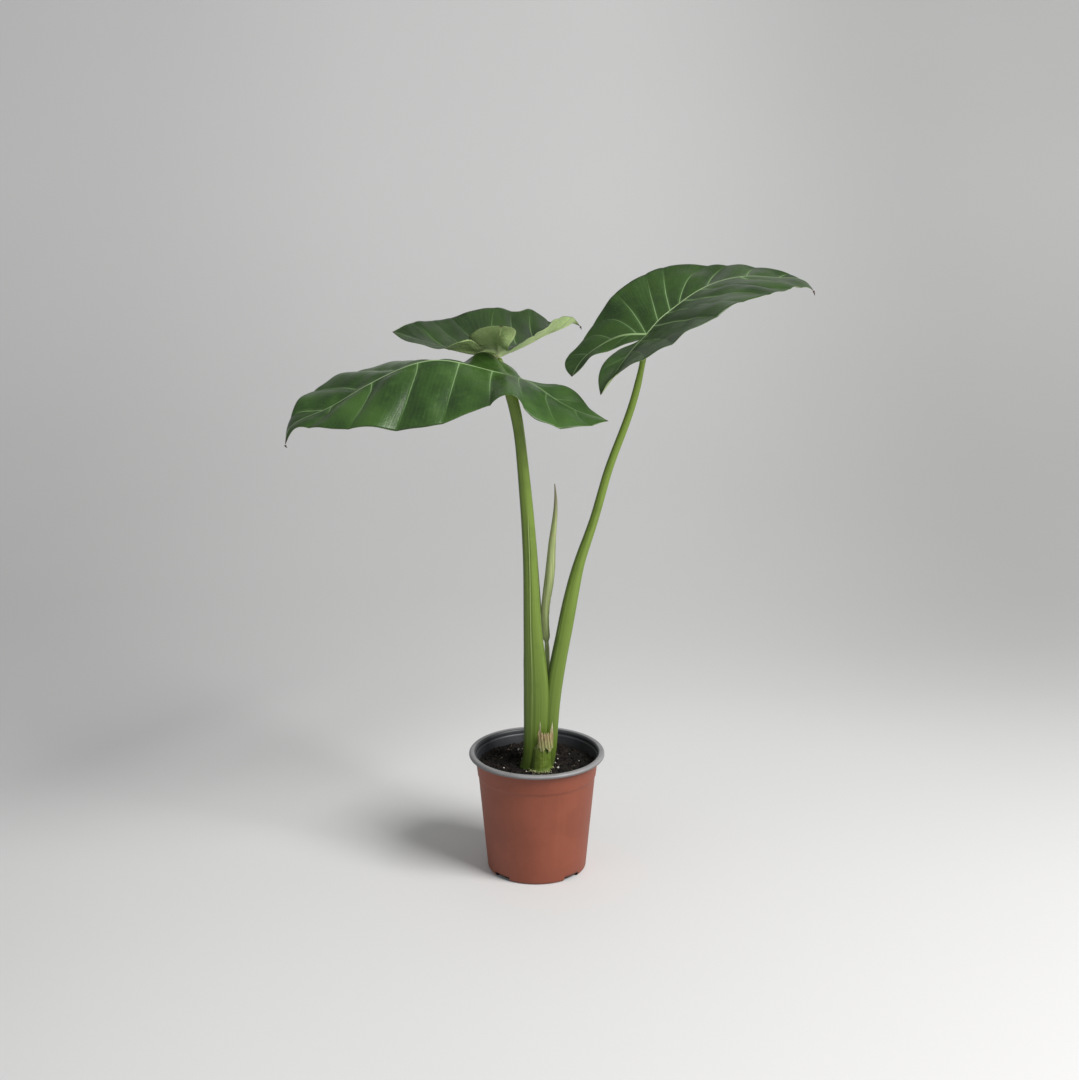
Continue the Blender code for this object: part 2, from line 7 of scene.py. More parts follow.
import bpy
import numpy as np
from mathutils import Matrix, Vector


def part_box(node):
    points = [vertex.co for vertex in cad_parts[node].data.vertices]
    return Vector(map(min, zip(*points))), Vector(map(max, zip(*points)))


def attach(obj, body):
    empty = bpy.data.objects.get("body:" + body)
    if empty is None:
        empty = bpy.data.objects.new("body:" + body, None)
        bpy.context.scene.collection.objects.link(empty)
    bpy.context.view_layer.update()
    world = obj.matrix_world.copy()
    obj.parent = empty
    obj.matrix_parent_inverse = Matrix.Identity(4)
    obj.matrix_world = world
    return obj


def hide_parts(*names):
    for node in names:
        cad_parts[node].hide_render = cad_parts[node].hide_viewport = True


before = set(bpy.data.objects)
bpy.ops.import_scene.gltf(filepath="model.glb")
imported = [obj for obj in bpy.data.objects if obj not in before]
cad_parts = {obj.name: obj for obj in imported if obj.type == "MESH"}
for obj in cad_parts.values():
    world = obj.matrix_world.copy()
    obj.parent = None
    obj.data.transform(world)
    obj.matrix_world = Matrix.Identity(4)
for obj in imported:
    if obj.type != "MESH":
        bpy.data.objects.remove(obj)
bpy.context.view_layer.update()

# ------------------------------------------------------------------ studio
# A pale sweep of seamless paper: flat floor, a wide curve and an upright back, all one sheet.
# One large soft light stands high on the right in front of the plant, and a weaker one on the left.
# The camera looks down on the plant at a slight angle, from about two metres away.

SWEEP_FLOOR_FRONT = -4.0
SWEEP_CURVE_START = 0.45
SWEEP_CURVE_RADIUS = 1.9
SWEEP_HEIGHT = 5.0
SWEEP_HALF_WIDTH = 5.0
PAPER_WHITE = (0.69, 0.69, 0.692)
# Painted shade: the paper is painted darker where it bends up, far back on the right and on the left.
BEND_SHADE = 0.15               # how much darker the paper is where it bends up,
RIGHT_SHADE = 0.23              # far back on the right,
LEFT_SHADE = 0.07               # and on the left
CAMERA_PLACE = (0.0024, -1.900, 0.8760)
CAMERA_TILT = 73.27             # degrees from straight down
CAMERA_LENS = 76.67             # mm
CAMERA_SENSOR = 36.0            # mm
MERGE_GRAIN = 1e-7              # points that are alike to this are one


class Signal:
    """A number that varies over a surface: wraps a socket, and arithmetic on it adds Math nodes."""

    def __init__(self, finish, socket):
        self.finish = finish
        self.socket = socket

    def math(self, operation, *others):
        """The signal of a Math node on this number and the others."""
        values = dict(enumerate((self, *others)))
        return self.finish.signal("ShaderNodeMath", {"operation": operation}, values)

    def __add__(self, other):
        return self.math("ADD", other)

    __radd__ = __add__

    def __sub__(self, other):
        return self.math("SUBTRACT", other)

    def __rsub__(self, other):
        return self.finish.signal("ShaderNodeMath", {"operation": "SUBTRACT"}, {0: other, 1: self})

    def __mul__(self, other):
        return self.math("MULTIPLY", other)

    __rmul__ = __mul__

    def __truediv__(self, other):
        return self.math("DIVIDE", other)

    def __pow__(self, other):
        return self.math("POWER", other)

    def ramp(self, low, high):
        """0 below low, 1 above high, and an S-shaped rise between them; a low above high falls."""
        settings = {"interpolation_type": "SMOOTHSTEP"}
        if low <= high:
            return self.finish.signal("ShaderNodeMapRange", settings, {0: self, 1: low, 2: high})
        return 1 - self.finish.signal("ShaderNodeMapRange", settings, {0: self, 1: high, 2: low})

    def from_whole(self):
        """Distance to the nearest whole number."""
        return self.math("PINGPONG", 0.5)


class Finish:
    """One Principled material and the nodes that paint it."""

    def __init__(self, name, **constants):
        self.material = bpy.data.materials.new(name)
        self.material.use_nodes = True
        self.tree = self.material.node_tree
        self.shader = self.tree.nodes["Principled BSDF"]
        for socket, value in constants.items():
            self.shader.inputs[socket.replace("_", " ")].default_value = value

    def node(self, kind, settings=None, sockets=None):
        """Adds a node, gives it its settings and then the values or links of its sockets."""
        made = self.tree.nodes.new(kind)
        for name, value in (settings or {}).items():
            if name == "stops":
                ramp = made.color_ramp
                while len(ramp.elements) < len(value):
                    ramp.elements.new(1.0)
                for element, (place, colour) in zip(ramp.elements, value):
                    element.position = place
                    element.color = (*colour, 1.0)
            else:
                setattr(made, name, value)
        for name, value in (sockets or {}).items():
            self.put(made.inputs[name], value)
        return made

    def put(self, socket, value):
        """Links a signal to a socket, or gives the socket its constant."""
        if isinstance(value, Signal):
            self.tree.links.new(value.socket, socket)
        elif isinstance(value, tuple) and len(value) == 3 and socket.type == "RGBA":
            socket.default_value = (*value, 1.0)
        else:
            socket.default_value = value

    def signal(self, kind, settings=None, sockets=None, out=0):
        """Adds a node and gives the signal of one of its outputs."""
        return Signal(self, self.node(kind, settings, sockets).outputs[out])

    def place(self, scale=(1.0, 1.0, 1.0), centre=(0.0, 0.0, 0.0)):
        """Object coordinates about a centre, stretched by scale."""
        coordinates = self.signal("ShaderNodeTexCoord", out="Object")
        shift = tuple(-c * s for c, s in zip(centre, scale))
        return self.signal("ShaderNodeMapping", None, {
            "Vector": coordinates, "Location": shift, "Scale": scale})

    def axes(self, vector):
        """The three numbers of a vector."""
        parts = self.node("ShaderNodeSeparateXYZ", None, {0: vector})
        return [Signal(self, output) for output in parts.outputs]

    def map(self, name):
        """The two numbers that a piece's own UV map holds."""
        return self.axes(self.signal("ShaderNodeUVMap", {"uv_map": name}))[:2]

    def point(self, x, y=0.0, z=0.0):
        """A vector made of three numbers."""
        return self.signal("ShaderNodeCombineXYZ", None, {0: x, 1: y, 2: z})

    def noise(self, vector, scale, detail=3.0, roughness=0.5):
        """Cloudy pattern from 0 to 1 about a middle of 0.5."""
        return self.signal("ShaderNodeTexNoise", None, {
            "Vector": vector, "Scale": scale, "Detail": detail, "Roughness": roughness})

    def cells(self, vector, scale, feature="F1"):
        """Distance to the nearest cell's middle, or to its edge."""
        return self.signal("ShaderNodeTexVoronoi", {"feature": feature}, {"Vector": vector, "Scale": scale})

    def mix(self, low, high, share):
        """Colour between low and high."""
        return self.signal("ShaderNodeMix", {"data_type": "RGBA"}, {0: share, 6: low, 7: high}, out=2)

    def paint(self, colour, roughness=None, height=None, depth=0.001, strength=1.0):
        """Links colour and roughness, and a bump whose height of 1 stands depth metres proud."""
        self.put(self.shader.inputs["Base Color"], colour)
        if roughness is not None:
            self.put(self.shader.inputs["Roughness"], roughness)
        if height is not None:
            bump = self.signal("ShaderNodeBump", None, {
                "Height": height, "Distance": depth, "Strength": strength})
            self.put(self.shader.inputs["Normal"], bump)
        return self.material


def same_places(points):
    """How many places the points have, and the number of each point's place."""
    keys, place = np.unique(np.round(points / MERGE_GRAIN).astype(np.int64), axis=0, return_inverse=True)
    return len(keys), place.reshape(-1)


def build_mesh(name, points, quads, maps=None, parts=None, smooth=True):
    """Mesh from an array of points and of four-cornered faces.

    Points that coincide are made one, and a face that this closes to a point or a line is left out.
    maps holds {name: array of two numbers for each corner}, and parts each face's material.
    """
    place_count, place = same_places(points)
    first = np.zeros(place_count, dtype=np.int64)
    first[place[::-1]] = np.arange(len(points))[::-1]
    corners = place[quads]
    keep = corners != np.roll(corners, -1, axis=1)
    whole = keep.sum(axis=1) >= 3
    keep &= whole[:, None]
    counts = keep.sum(axis=1)[whole]
    loops = corners[keep]
    mesh = bpy.data.meshes.new(name)
    mesh.vertices.add(place_count)
    mesh.vertices.foreach_set("co", points[first].astype(np.float32).ravel())
    mesh.loops.add(len(loops))
    mesh.loops.foreach_set("vertex_index", loops.astype(np.int32))
    mesh.polygons.add(len(counts))
    starts = np.concatenate([[0], np.cumsum(counts)[:-1]])
    mesh.polygons.foreach_set("loop_start", starts.astype(np.int32))
    mesh.polygons.foreach_set("loop_total", counts.astype(np.int32))
    if parts is not None:
        mesh.polygons.foreach_set("material_index", np.asarray(parts)[whole].astype(np.int32))
    for key, values in (maps or {}).items():
        layer = mesh.uv_layers.new(name=key)
        layer.data.foreach_set("uv", values.reshape(-1, 4, 2)[keep].astype(np.float32).ravel())
    mesh.update(calc_edges=True)
    mesh.validate()
    mesh.polygons.foreach_set("use_smooth", np.full(len(mesh.polygons), smooth))
    return mesh


def grid_quads(rows, columns, wrap=False, flip=False):
    """Faces of a grid of points, numbered row by row; wrap joins the last column to the first."""
    across = np.arange(columns if wrap else columns - 1)
    row, column = np.meshgrid(np.arange(rows - 1), across, indexing="ij")
    after = (column + 1) % columns
    low, high = row * columns, (row + 1) * columns
    quads = np.stack([low + column, low + after, high + after, high + column], axis=-1).reshape(-1, 4)
    return quads[:, ::-1] if flip else quads


def grid_mesh(name, grid, wrap=False, flip=False):
    """Mesh of a whole grid of points, given as rows of columns."""
    return build_mesh(name, grid.reshape(-1, 3), grid_quads(*grid.shape[:2], wrap, flip))


def add_piece(mesh, *finishes):
    """Object that has the mesh's name, and its finishes in the order of the mesh's parts."""
    made = bpy.data.objects.new(mesh.name, mesh)
    bpy.context.scene.collection.objects.link(made)
    for finish in finishes:
        mesh.materials.append(finish)
    return made


def sweep_points(columns=9, arc_steps=24):
    """Floor, a quarter circle and an upright back, as a profile in (y, z) carried along x."""
    turn = np.linspace(0, math.pi / 2, arc_steps)
    y = np.concatenate([[SWEEP_FLOOR_FRONT], SWEEP_CURVE_START + SWEEP_CURVE_RADIUS * np.sin(turn),
                        [SWEEP_CURVE_START + SWEEP_CURVE_RADIUS]])
    z = np.concatenate([[0.0], SWEEP_CURVE_RADIUS * (1 - np.cos(turn)), [SWEEP_HEIGHT]])
    x = np.linspace(-SWEEP_HALF_WIDTH, SWEEP_HALF_WIDTH, columns)
    return np.stack(np.broadcast_arrays(x[None, :], y[:, None], z[:, None]), axis=-1)


paper = Finish("studio_paper", Roughness=0.85)
spot = paper.place()
grain = paper.noise(spot, 3.0, 2.0)
x, y, z = paper.axes(spot)
bend = y.ramp(0.25, 0.75) * y.ramp(1.70, 0.90)
right_painted_shade = x.ramp(0.05, 0.62) * y.ramp(-0.10, 0.60)
# Painted shade: the paper's colour darkens where it bends up, far back on the right and on the left.
painted_shade_tone = 1.0 - bend * BEND_SHADE - right_painted_shade * RIGHT_SHADE - x.ramp(-0.20, -0.65) * LEFT_SHADE
sweep_finish = paper.paint(paper.mix((0.0, 0.0, 0.0), PAPER_WHITE, painted_shade_tone + (grain - 0.5) * 0.03))
sweep = add_piece(grid_mesh("studio_sweep", sweep_points()), sweep_finish)

camera_data = bpy.data.cameras.new("camera")
camera_data.lens = CAMERA_LENS
camera_data.sensor_width = CAMERA_SENSOR
camera_data.clip_start = 0.01
camera_data.clip_end = 50.0
camera = bpy.data.objects.new("camera", camera_data)
camera.location = CAMERA_PLACE
camera.rotation_euler = (math.radians(CAMERA_TILT), 0, 0)
bpy.context.scene.collection.objects.link(camera)
bpy.context.scene.camera = camera


def add_light(name, place, target, size, power, colour):
    """A square soft light at a place, facing its target."""
    data = bpy.data.lights.new(name, "AREA")
    data.size = size
    data.energy = power
    data.color = colour
    lamp = bpy.data.objects.new(name, data)
    lamp.location = place
    away = np.array(place) - np.array(target)
    flat = math.hypot(away[0], away[1])
    lamp.rotation_euler = (math.atan2(flat, away[2]), 0, math.atan2(away[1], away[0]) + math.pi / 2)
    bpy.context.scene.collection.objects.link(lamp)


add_light("key_light", place=(1.6, -1.15, 1.9), target=(0.05, 0.0, 0.20), size=1.3, power=82.0,
          colour=(1.0, 0.99, 0.97))
add_light("fill_light", place=(-1.8, -1.6, 1.3), target=(0.0, 0.0, 0.3), size=1.6, power=3.0,
          colour=(0.97, 0.99, 1.0))
world = bpy.data.worlds.new("studio_air")
world.use_nodes = True
air = world.node_tree.nodes["Background"]
air.inputs["Color"].default_value = (0.98, 0.99, 1.0, 1.0)
air.inputs["Strength"].default_value = 0.33
bpy.context.scene.world = world
bpy.context.scene.view_settings.view_transform = "Standard"

# ------------------------------------------------------------------ pot
# One thin shell of two-layer polypropylene sheet, drawn down over a mould: terracotta outside, grey inside.
# The rim is turned out and rolled down, so that it shows the grey layer, and the collar steps out below it.
# Four drain openings are cut through the corner where the wall meets the base.

pot_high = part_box("pot")[1]
POT_HEIGHT = pot_high[2]
RIM_RADIUS = pot_high[0]
SHELL = 0.0009
RIM_WIDTH = 0.005
LIP_DROP = 0.0019
COLLAR_DEPTH = 0.021
COLLAR_TAPER = 0.0025
COLLAR_STEP = 0.0007
BODY_TAPER = 0.0078
FOOT_FILLET = 0.003
NOTCH_COUNT = 4
NOTCH_HEIGHT = 0.004
NOTCH_REACH = 0.0045
NOTCH_COLUMNS = 16              # of the turned grid's columns, for each opening's width
POT_COLUMNS = 256
COLLAR_RADIUS = RIM_RADIUS - RIM_WIDTH
BODY_RADIUS = COLLAR_RADIUS - COLLAR_TAPER - COLLAR_STEP
FOOT_RADIUS = BODY_RADIUS - BODY_TAPER
COLLAR_BOTTOM = POT_HEIGHT - COLLAR_DEPTH


def arc(radius, height, size, start, end, count):
    """Points of an arc about (radius, height) in the half plane of a turned shape, angles in degrees."""
    turn = np.radians(np.linspace(start, end, count))
    return np.stack([radius + size * np.cos(turn), height + size * np.sin(turn)], axis=-1)


def line(start, end, count):
    """Points evenly spaced from start up to, and without, end."""
    share = np.linspace(0, 1, count + 1)[:-1, None]
    return np.asarray(start) * (1 - share) + np.asarray(end) * share


def full_turn(count):
    """Angles of count even steps once round."""
    return np.linspace(0, 2 * math.pi, count, endpoint=False)


def turned(profile, columns):
    """Profile of (radius, height) carried once round the Z axis."""
    turn = full_turn(columns)
    radius, height = profile[:, :1], profile[:, 1:]
    return np.stack(np.broadcast_arrays(radius * np.cos(turn), radius * np.sin(turn), height), axis=-1)


def pot_profile():
    """Outer face of the shell, from the middle of the base to the lip's lower edge."""
    foot_flat = FOOT_RADIUS - FOOT_FILLET
    notch_radius = FOOT_RADIUS - NOTCH_REACH
    step_top = (BODY_RADIUS + COLLAR_STEP, COLLAR_BOTTOM + 0.0002)
    ledge = POT_HEIGHT - 0.0052
    flange_bend = 0.0011
    lip_radius = 0.0012
    lip_face = RIM_RADIUS - SHELL
    lip_bend = POT_HEIGHT - lip_radius - SHELL
    lip_edge = POT_HEIGHT - LIP_DROP
    hollow = 0.0009                 # how far the middle of the base is raised
    ring_inner = 0.0235             # inner edge of the flat ring that the pot stands on
    hollow_edge = (ring_inner - 0.0015, hollow)
    step_foot = (BODY_RADIUS, COLLAR_BOTTOM - 0.0006)
    ledge_inner = (COLLAR_RADIUS - 0.0007, ledge)
    ledge_outer = (COLLAR_RADIUS, ledge + 0.0003)
    return np.vstack([
        line((0, hollow), hollow_edge, 4), line(hollow_edge, (ring_inner, 0), 2),
        line((ring_inner, 0), (notch_radius, 0), 5), line((notch_radius, 0), (foot_flat, 0), 2),
        arc(foot_flat, FOOT_FILLET, FOOT_FILLET, -90, 0, 7),
        line((FOOT_RADIUS + 0.0001, NOTCH_HEIGHT), step_foot, 34), line(step_foot, step_top, 2),
        line(step_top, ledge_inner, 14), line(ledge_inner, ledge_outer, 2),
        line(ledge_outer, (COLLAR_RADIUS, POT_HEIGHT - 2 * flange_bend), 4),
        arc(COLLAR_RADIUS + flange_bend, POT_HEIGHT - 2 * flange_bend, flange_bend, 180, 90, 5),
        arc(RIM_RADIUS - lip_radius - SHELL, lip_bend, lip_radius, 90, 0, 7),
        line((lip_face, lip_bend - 0.0001), (lip_face, lip_edge - 0.0006), 3),
        [(lip_face - 0.0002, lip_edge - 0.0008)]])


pot_outline = pot_profile()
pot_grid = turned(pot_outline, POT_COLUMNS)
pot_quads = grid_quads(len(pot_outline), POT_COLUMNS, wrap=True)
quad_row, quad_column = np.divmod(np.arange(len(pot_quads)), POT_COLUMNS)
notch_middles = (np.arange(NOTCH_COUNT) + 0.5) * POT_COLUMNS / NOTCH_COUNT
from_notch = np.abs(quad_column[:, None] + 0.5 - notch_middles[None, :]).min(axis=1)
quad_middle = (pot_outline[:-1] + pot_outline[1:])[quad_row] / 2
in_corner = (quad_middle[:, 0] > FOOT_RADIUS - NOTCH_REACH) & (quad_middle[:, 1] < NOTCH_HEIGHT)
pot_quads = pot_quads[~((from_notch < NOTCH_COLUMNS / 2) & in_corner)]

terracotta = Finish("terracotta_plastic", Coat_Roughness=0.35)
spot = terracotta.place()
x, y, z = terracotta.axes(spot)
cloud = terracotta.noise(spot, 28.0, 4.0, 0.6)
streak = terracotta.noise(terracotta.place((60.0, 60.0, 3.0)), 1.0, 3.0, 0.6)
speck = terracotta.noise(spot, 900.0, 2.0, 0.6)
clay = terracotta.mix((0.210, 0.049, 0.022), (0.245, 0.060, 0.029), cloud.ramp(0.35, 0.68))
clay = terracotta.mix(clay, (0.280, 0.078, 0.041), streak.ramp(0.56, 0.80) * 0.35)
clay = terracotta.mix(clay, (0.170, 0.044, 0.022), z.ramp(0.022, 0.0) * cloud.ramp(0.45, 0.60) * 0.35)
clay = terracotta.mix(clay, (0.36, 0.15, 0.10), speck.ramp(0.66, 0.76) * 0.18)
pot_outside = terracotta.paint(clay, 0.42 + cloud * 0.16 + streak * 0.05, speck * 0.5 + streak * 0.5,
                               0.00016, 0.6)

lining = Finish("grey_plastic")
spot = lining.place()
x, y, z = lining.axes(spot)
radius = (x * x + y * y) ** 0.5
cloud = lining.noise(spot, 40.0, 4.0, 0.6)
rings = lining.noise(lining.place((4.0, 4.0, 420.0)), 1.0, 2.0, 0.5)
on_rim = radius.ramp(COLLAR_RADIUS + 0.0002, COLLAR_RADIUS + 0.0010)
# Painted light and shade: the same grey layer is painted light on the rim and far darker on the inner wall.
wall_grey_in_painted_shade = lining.mix((0.030, 0.033, 0.037), (0.062, 0.066, 0.072),
                       cloud.ramp(0.30, 0.70) * 0.6 + rings * 0.3)
rim_grey = lining.mix((0.190, 0.187, 0.192), (0.270, 0.266, 0.274), cloud.ramp(0.30, 0.70))
# Painted shade: the rim's grey is darker on the rolled-down lip, below its top.
rim_grey = lining.mix(rim_grey, (0.110, 0.106, 0.108),
                      z.ramp(POT_HEIGHT - 0.0010, POT_HEIGHT - 0.0024) * 0.8)
dusty = lining.mix(wall_grey_in_painted_shade, (0.035, 0.028, 0.022), z.ramp(0.101, 0.094) * cloud.ramp(0.40, 0.62))
pot_inside = lining.paint(lining.mix(dusty, rim_grey, on_rim), 0.36 + cloud * 0.15, cloud + rings * 0.4,
                          0.00012, 0.5)

pot = add_piece(build_mesh("nursery_pot", pot_grid.reshape(-1, 3), pot_quads), pot_outside, pot_inside)
pot_wall = pot.modifiers.new("wall", "SOLIDIFY")
pot_wall.thickness = SHELL
pot_wall.offset = -1.0
pot_wall.use_even_offset = True
pot_wall.material_offset = 1
pot_wall.material_offset_rim = 1
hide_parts("pot")
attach(pot, "root")

# ------------------------------------------------------------------ soil
# Dark peat mix that fills the pot to about 15 mm below its rim, rough and crumbly on top.
# Loose on it lie peat crumbs, thin pale root fibres and a few white grains of perlite.
# Nothing holds them: they lie where they fell when the plant was potted.

soil_low, soil_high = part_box("soil")
SOIL_LEVEL = soil_high[2] - 0.0015
SOIL_RADIUS = soil_high[0] + 0.0002
SOIL_RINGS = 110
SOIL_COLUMNS = 300
CRUMB_COUNT = 1500
FIBRE_COUNT = 70
GRAIN_COUNT = 26
PLACED_GRAINS = (               # x, y and size of the perlite grains that have a place of their own
    (0.0185, 0.0125, 0.00115), (0.0187, -0.0045, 0.0011),
    (0.0165, 0.0045, 0.0007), (-0.0290, -0.0080, 0.0007))
LUMP_ROWS = 5
LUMP_COLUMNS = 7
chance = np.random.default_rng(11)


def waves(x, y, sizes, count, seed):
    """Sum of count crossing waves for each of sizes (wave length, height), in random directions."""
    draw = np.random.default_rng(seed)
    total = np.zeros(np.broadcast(x, y).shape)
    for wave_length, height in sizes:
        for turn, phase in draw.uniform(0, 2 * math.pi, (count, 2)):
            travel = x * math.cos(turn) + y * math.sin(turn)
            total += height * np.sin(travel * 2 * math.pi / wave_length + phase)
    return total / math.sqrt(count)


def soil_height(x, y):
    """Height of the soil's surface: lumps, a mound at the back left and a slope up to the wall."""
    rough = waves(x, y, ((0.040, 0.0009), (0.013, 0.0008), (0.0055, 0.0007), (0.0028, 0.00035)), 7, 5)
    rim = 0.0012 * np.clip(np.hypot(x, y) / SOIL_RADIUS, 0, 1) ** 6
    mound = 0.0042 * np.exp(-((x + 0.022) ** 2 + (y - 0.024) ** 2) / 0.017 ** 2)
    return SOIL_LEVEL + np.abs(rough) * 0.95 - 0.0004 + rim + mound


def soil_points():
    """Closed body: rough top on a polar grid, then the side down to the base and in to its middle."""
    share = np.linspace(0, 1, SOIL_RINGS) ** 0.75
    turn = full_turn(SOIL_COLUMNS)
    x = SOIL_RADIUS * share[:, None] * np.cos(turn)
    y = SOIL_RADIUS * share[:, None] * np.sin(turn)
    top = np.stack([x, y, soil_height(x, y)], axis=-1)
    base = turned(np.array([(SOIL_RADIUS - 0.0010, COLLAR_BOTTOM), (FOOT_RADIUS - 0.0022, 0.006),
                            (FOOT_RADIUS - 0.0050, soil_low[2]), (0.0, soil_low[2])]), SOIL_COLUMNS)
    return np.concatenate([top, base])


def lump_shape():
    """Unit ball from pole to pole, on which every crumb and grain is based."""
    down = np.linspace(0, math.pi, LUMP_ROWS)[:, None]
    turn = full_turn(LUMP_COLUMNS)
    z = np.broadcast_to(np.cos(down), (LUMP_ROWS, LUMP_COLUMNS))
    return np.stack([np.sin(down) * np.cos(turn), np.sin(down) * np.sin(turn), z], axis=-1)


def copied(faces, points_each, count):
    """Faces of count copies of a shape that has points_each points."""
    return (faces[None] + points_each * np.arange(count)[:, None, None]).reshape(-1, 4)


def scattered_lumps(centres, sizes, roughness):
    """Copies of the unit ball at each centre, stretched, turned and dented at random.

    Each point has its own dent, but all the points of a pole share one, so that the pole stays closed.
    """
    count = len(centres)
    ball = lump_shape().reshape(-1, 3)
    stretch = chance.uniform(0.6, 1.3, (count, 1, 3)) * sizes[:, None, None]
    dents = 1 + chance.uniform(-roughness, roughness, (count, len(ball), 1))
    last_pole = len(ball) - LUMP_COLUMNS
    dents[:, :LUMP_COLUMNS] = dents[:, :1]
    dents[:, last_pole:] = dents[:, last_pole:last_pole + 1]
    points = ball[None] * dents * stretch
    spin, tip = chance.uniform(0, 2 * math.pi, (2, count, 1))
    y = points[..., 1] * np.cos(tip) - points[..., 2] * np.sin(tip)
    z = points[..., 1] * np.sin(tip) + points[..., 2] * np.cos(tip)
    x = points[..., 0] * np.cos(spin) - y * np.sin(spin)
    y = points[..., 0] * np.sin(spin) + y * np.cos(spin)
    moved = np.stack([x, y, z], axis=-1) + centres[:, None, :]
    faces = grid_quads(LUMP_ROWS, LUMP_COLUMNS, wrap=True, flip=True)
    return moved.reshape(-1, 3), copied(faces, len(ball), count)


def on_soil(count, inner, outer, sink):
    """Random places on the soil between two radii, sink metres below its surface."""
    radius = np.sqrt(chance.uniform(inner ** 2, outer ** 2, count))
    turn = chance.uniform(0, 2 * math.pi, count)
    x, y = radius * np.cos(turn), radius * np.sin(turn)
    return np.stack([x, y, soil_height(x, y) - sink], axis=-1)


peat = Finish("potting_soil", Specular_IOR_Level=0.25)
spot = peat.place()
cloud = peat.noise(spot, 160.0, 5.0, 0.7)
clod = peat.cells(spot, 420.0)
flecks = peat.noise(spot, 1300.0, 2.0, 0.7)
earth = peat.mix((0.004, 0.0032, 0.0026), (0.020, 0.0145, 0.011), cloud.ramp(0.35, 0.75))
earth = peat.mix(earth, (0.070, 0.050, 0.034), flecks.ramp(0.66, 0.80) * 0.45)
earth = peat.mix(earth, (0.034, 0.018, 0.011), cloud.ramp(0.62, 0.75) * 0.5)
soil_finish = peat.paint(earth, 0.80 + flecks * 0.15, clod * 0.8 + cloud + flecks * 0.4, 0.0009)

soil = add_piece(grid_mesh("peat_soil", soil_points(), wrap=True, flip=True), soil_finish)
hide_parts("soil")
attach(soil, "root")

crumb_sizes = 0.0004 + 0.0014 * chance.random(CRUMB_COUNT) ** 2.6
crumb_centres = on_soil(CRUMB_COUNT, 0.010, SOIL_RADIUS - 0.0018, 0.0001)
crumb_mesh = build_mesh("peat_crumbs", *scattered_lumps(crumb_centres, crumb_sizes, 0.30), smooth=False)
crumbs = add_piece(crumb_mesh, soil_finish)
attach(crumbs, "root")

perlite = Finish("white_perlite")
spot = perlite.place()
pores = perlite.cells(spot, 2600.0)
chalk = perlite.mix((0.42, 0.39, 0.34), (0.78, 0.77, 0.74), perlite.noise(spot, 900.0).ramp(0.35, 0.6))
grain_finish = perlite.paint(chalk, 0.8 + pores * 0.1, pores, 0.0003)
grain_centres = on_soil(GRAIN_COUNT, 0.014, SOIL_RADIUS - 0.003, -0.0002)
grain_sizes = 0.0004 + 0.0007 * chance.random(GRAIN_COUNT) ** 1.5
for k, (x, y, size) in enumerate(PLACED_GRAINS):
    grain_centres[k] = (x, y, soil_height(x, y) + 0.0003)
    grain_sizes[k] = size
grains = add_piece(build_mesh("perlite_grains", *scattered_lumps(
    grain_centres, grain_sizes, 0.22), smooth=False), grain_finish)
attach(grains, "root")


def fibres(starts, lengths, girth):
    """Thin tapering closed threads: each bows as half a sine wave and lies in a random direction."""
    count, rings, sides = len(starts), 7, 4
    along = np.linspace(0, 1, rings)
    turn = chance.uniform(0, 2 * math.pi, (count, 1))
    sway = chance.uniform(-0.5, 0.5, (count, 1))
    lift = chance.uniform(0.0, 0.25, (count, 1))
    bow = np.sin(math.pi * along)
    x = lengths[:, None] * (along * np.cos(turn) - sway * bow * np.sin(turn) * 0.6)
    y = lengths[:, None] * (along * np.sin(turn) + sway * bow * np.cos(turn) * 0.6)
    z = lengths[:, None] * lift * bow
    centres = starts[:, None] + np.stack([x, y, z], axis=-1)
    around = full_turn(sides)
    thick = (girth * (1 - 0.7 * along) * np.array([0, 1, 1, 1, 1, 1, 0]))[None, :, None]
    ring_x = -np.sin(turn)[..., None] * np.cos(around) * thick
    ring_y = np.cos(turn)[..., None] * np.cos(around) * thick
    ring_z = np.broadcast_to(np.sin(around) * thick, ring_x.shape)
    points = centres[:, :, None, :] + np.stack([ring_x, ring_y, ring_z], axis=-1)
    return points.reshape(-1, 3), copied(grid_quads(rings, sides, wrap=True), rings * sides, count)


root_hair = Finish("root_fibre", Roughness=0.7)
tint = root_hair.noise(root_hair.place(), 260.0)
straw = root_hair.mix((0.10, 0.065, 0.035), (0.42, 0.36, 0.24), tint.ramp(0.35, 0.65))
fibre_finish = root_hair.paint(straw)
fibre_starts = on_soil(FIBRE_COUNT, 0.011, SOIL_RADIUS - 0.008, -0.0004)
fibre_lengths = chance.uniform(0.003, 0.010, FIBRE_COUNT)
threads = add_piece(build_mesh("root_fibres", *fibres(fibre_starts, fibre_lengths, 0.00016)), fibre_finish)
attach(threads, "root")

# ------------------------------------------------------------------ stem
# The short green trunk that carries every leaf, ringed by the scars of leaves that have gone.
# It stands rooted in the soil, and torn fibres and young root tips fringe it at the soil's surface.

stem_low, stem_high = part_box("stem")
STEM_X = (stem_low[0] + stem_high[0]) / 2
STEM_Y = (stem_low[1] + stem_high[1]) / 2
STEM_TOP = stem_high[2] + 0.0230         # of the leaf bases that wrap the petioles' feet
STEM_RADIUS = 0.0088
TRUNK_X = STEM_X - 0.0026
TRUNK_Y = STEM_Y - 0.0050
TRUNK_ROOT = 0.006                       # about how deep it reaches into the soil
SCAR_HEIGHTS = (0.0034, 0.0105)          # above the soil
STEM_ROWS = 60
STEM_COLUMNS = 96
FRINGE_COUNT = 64


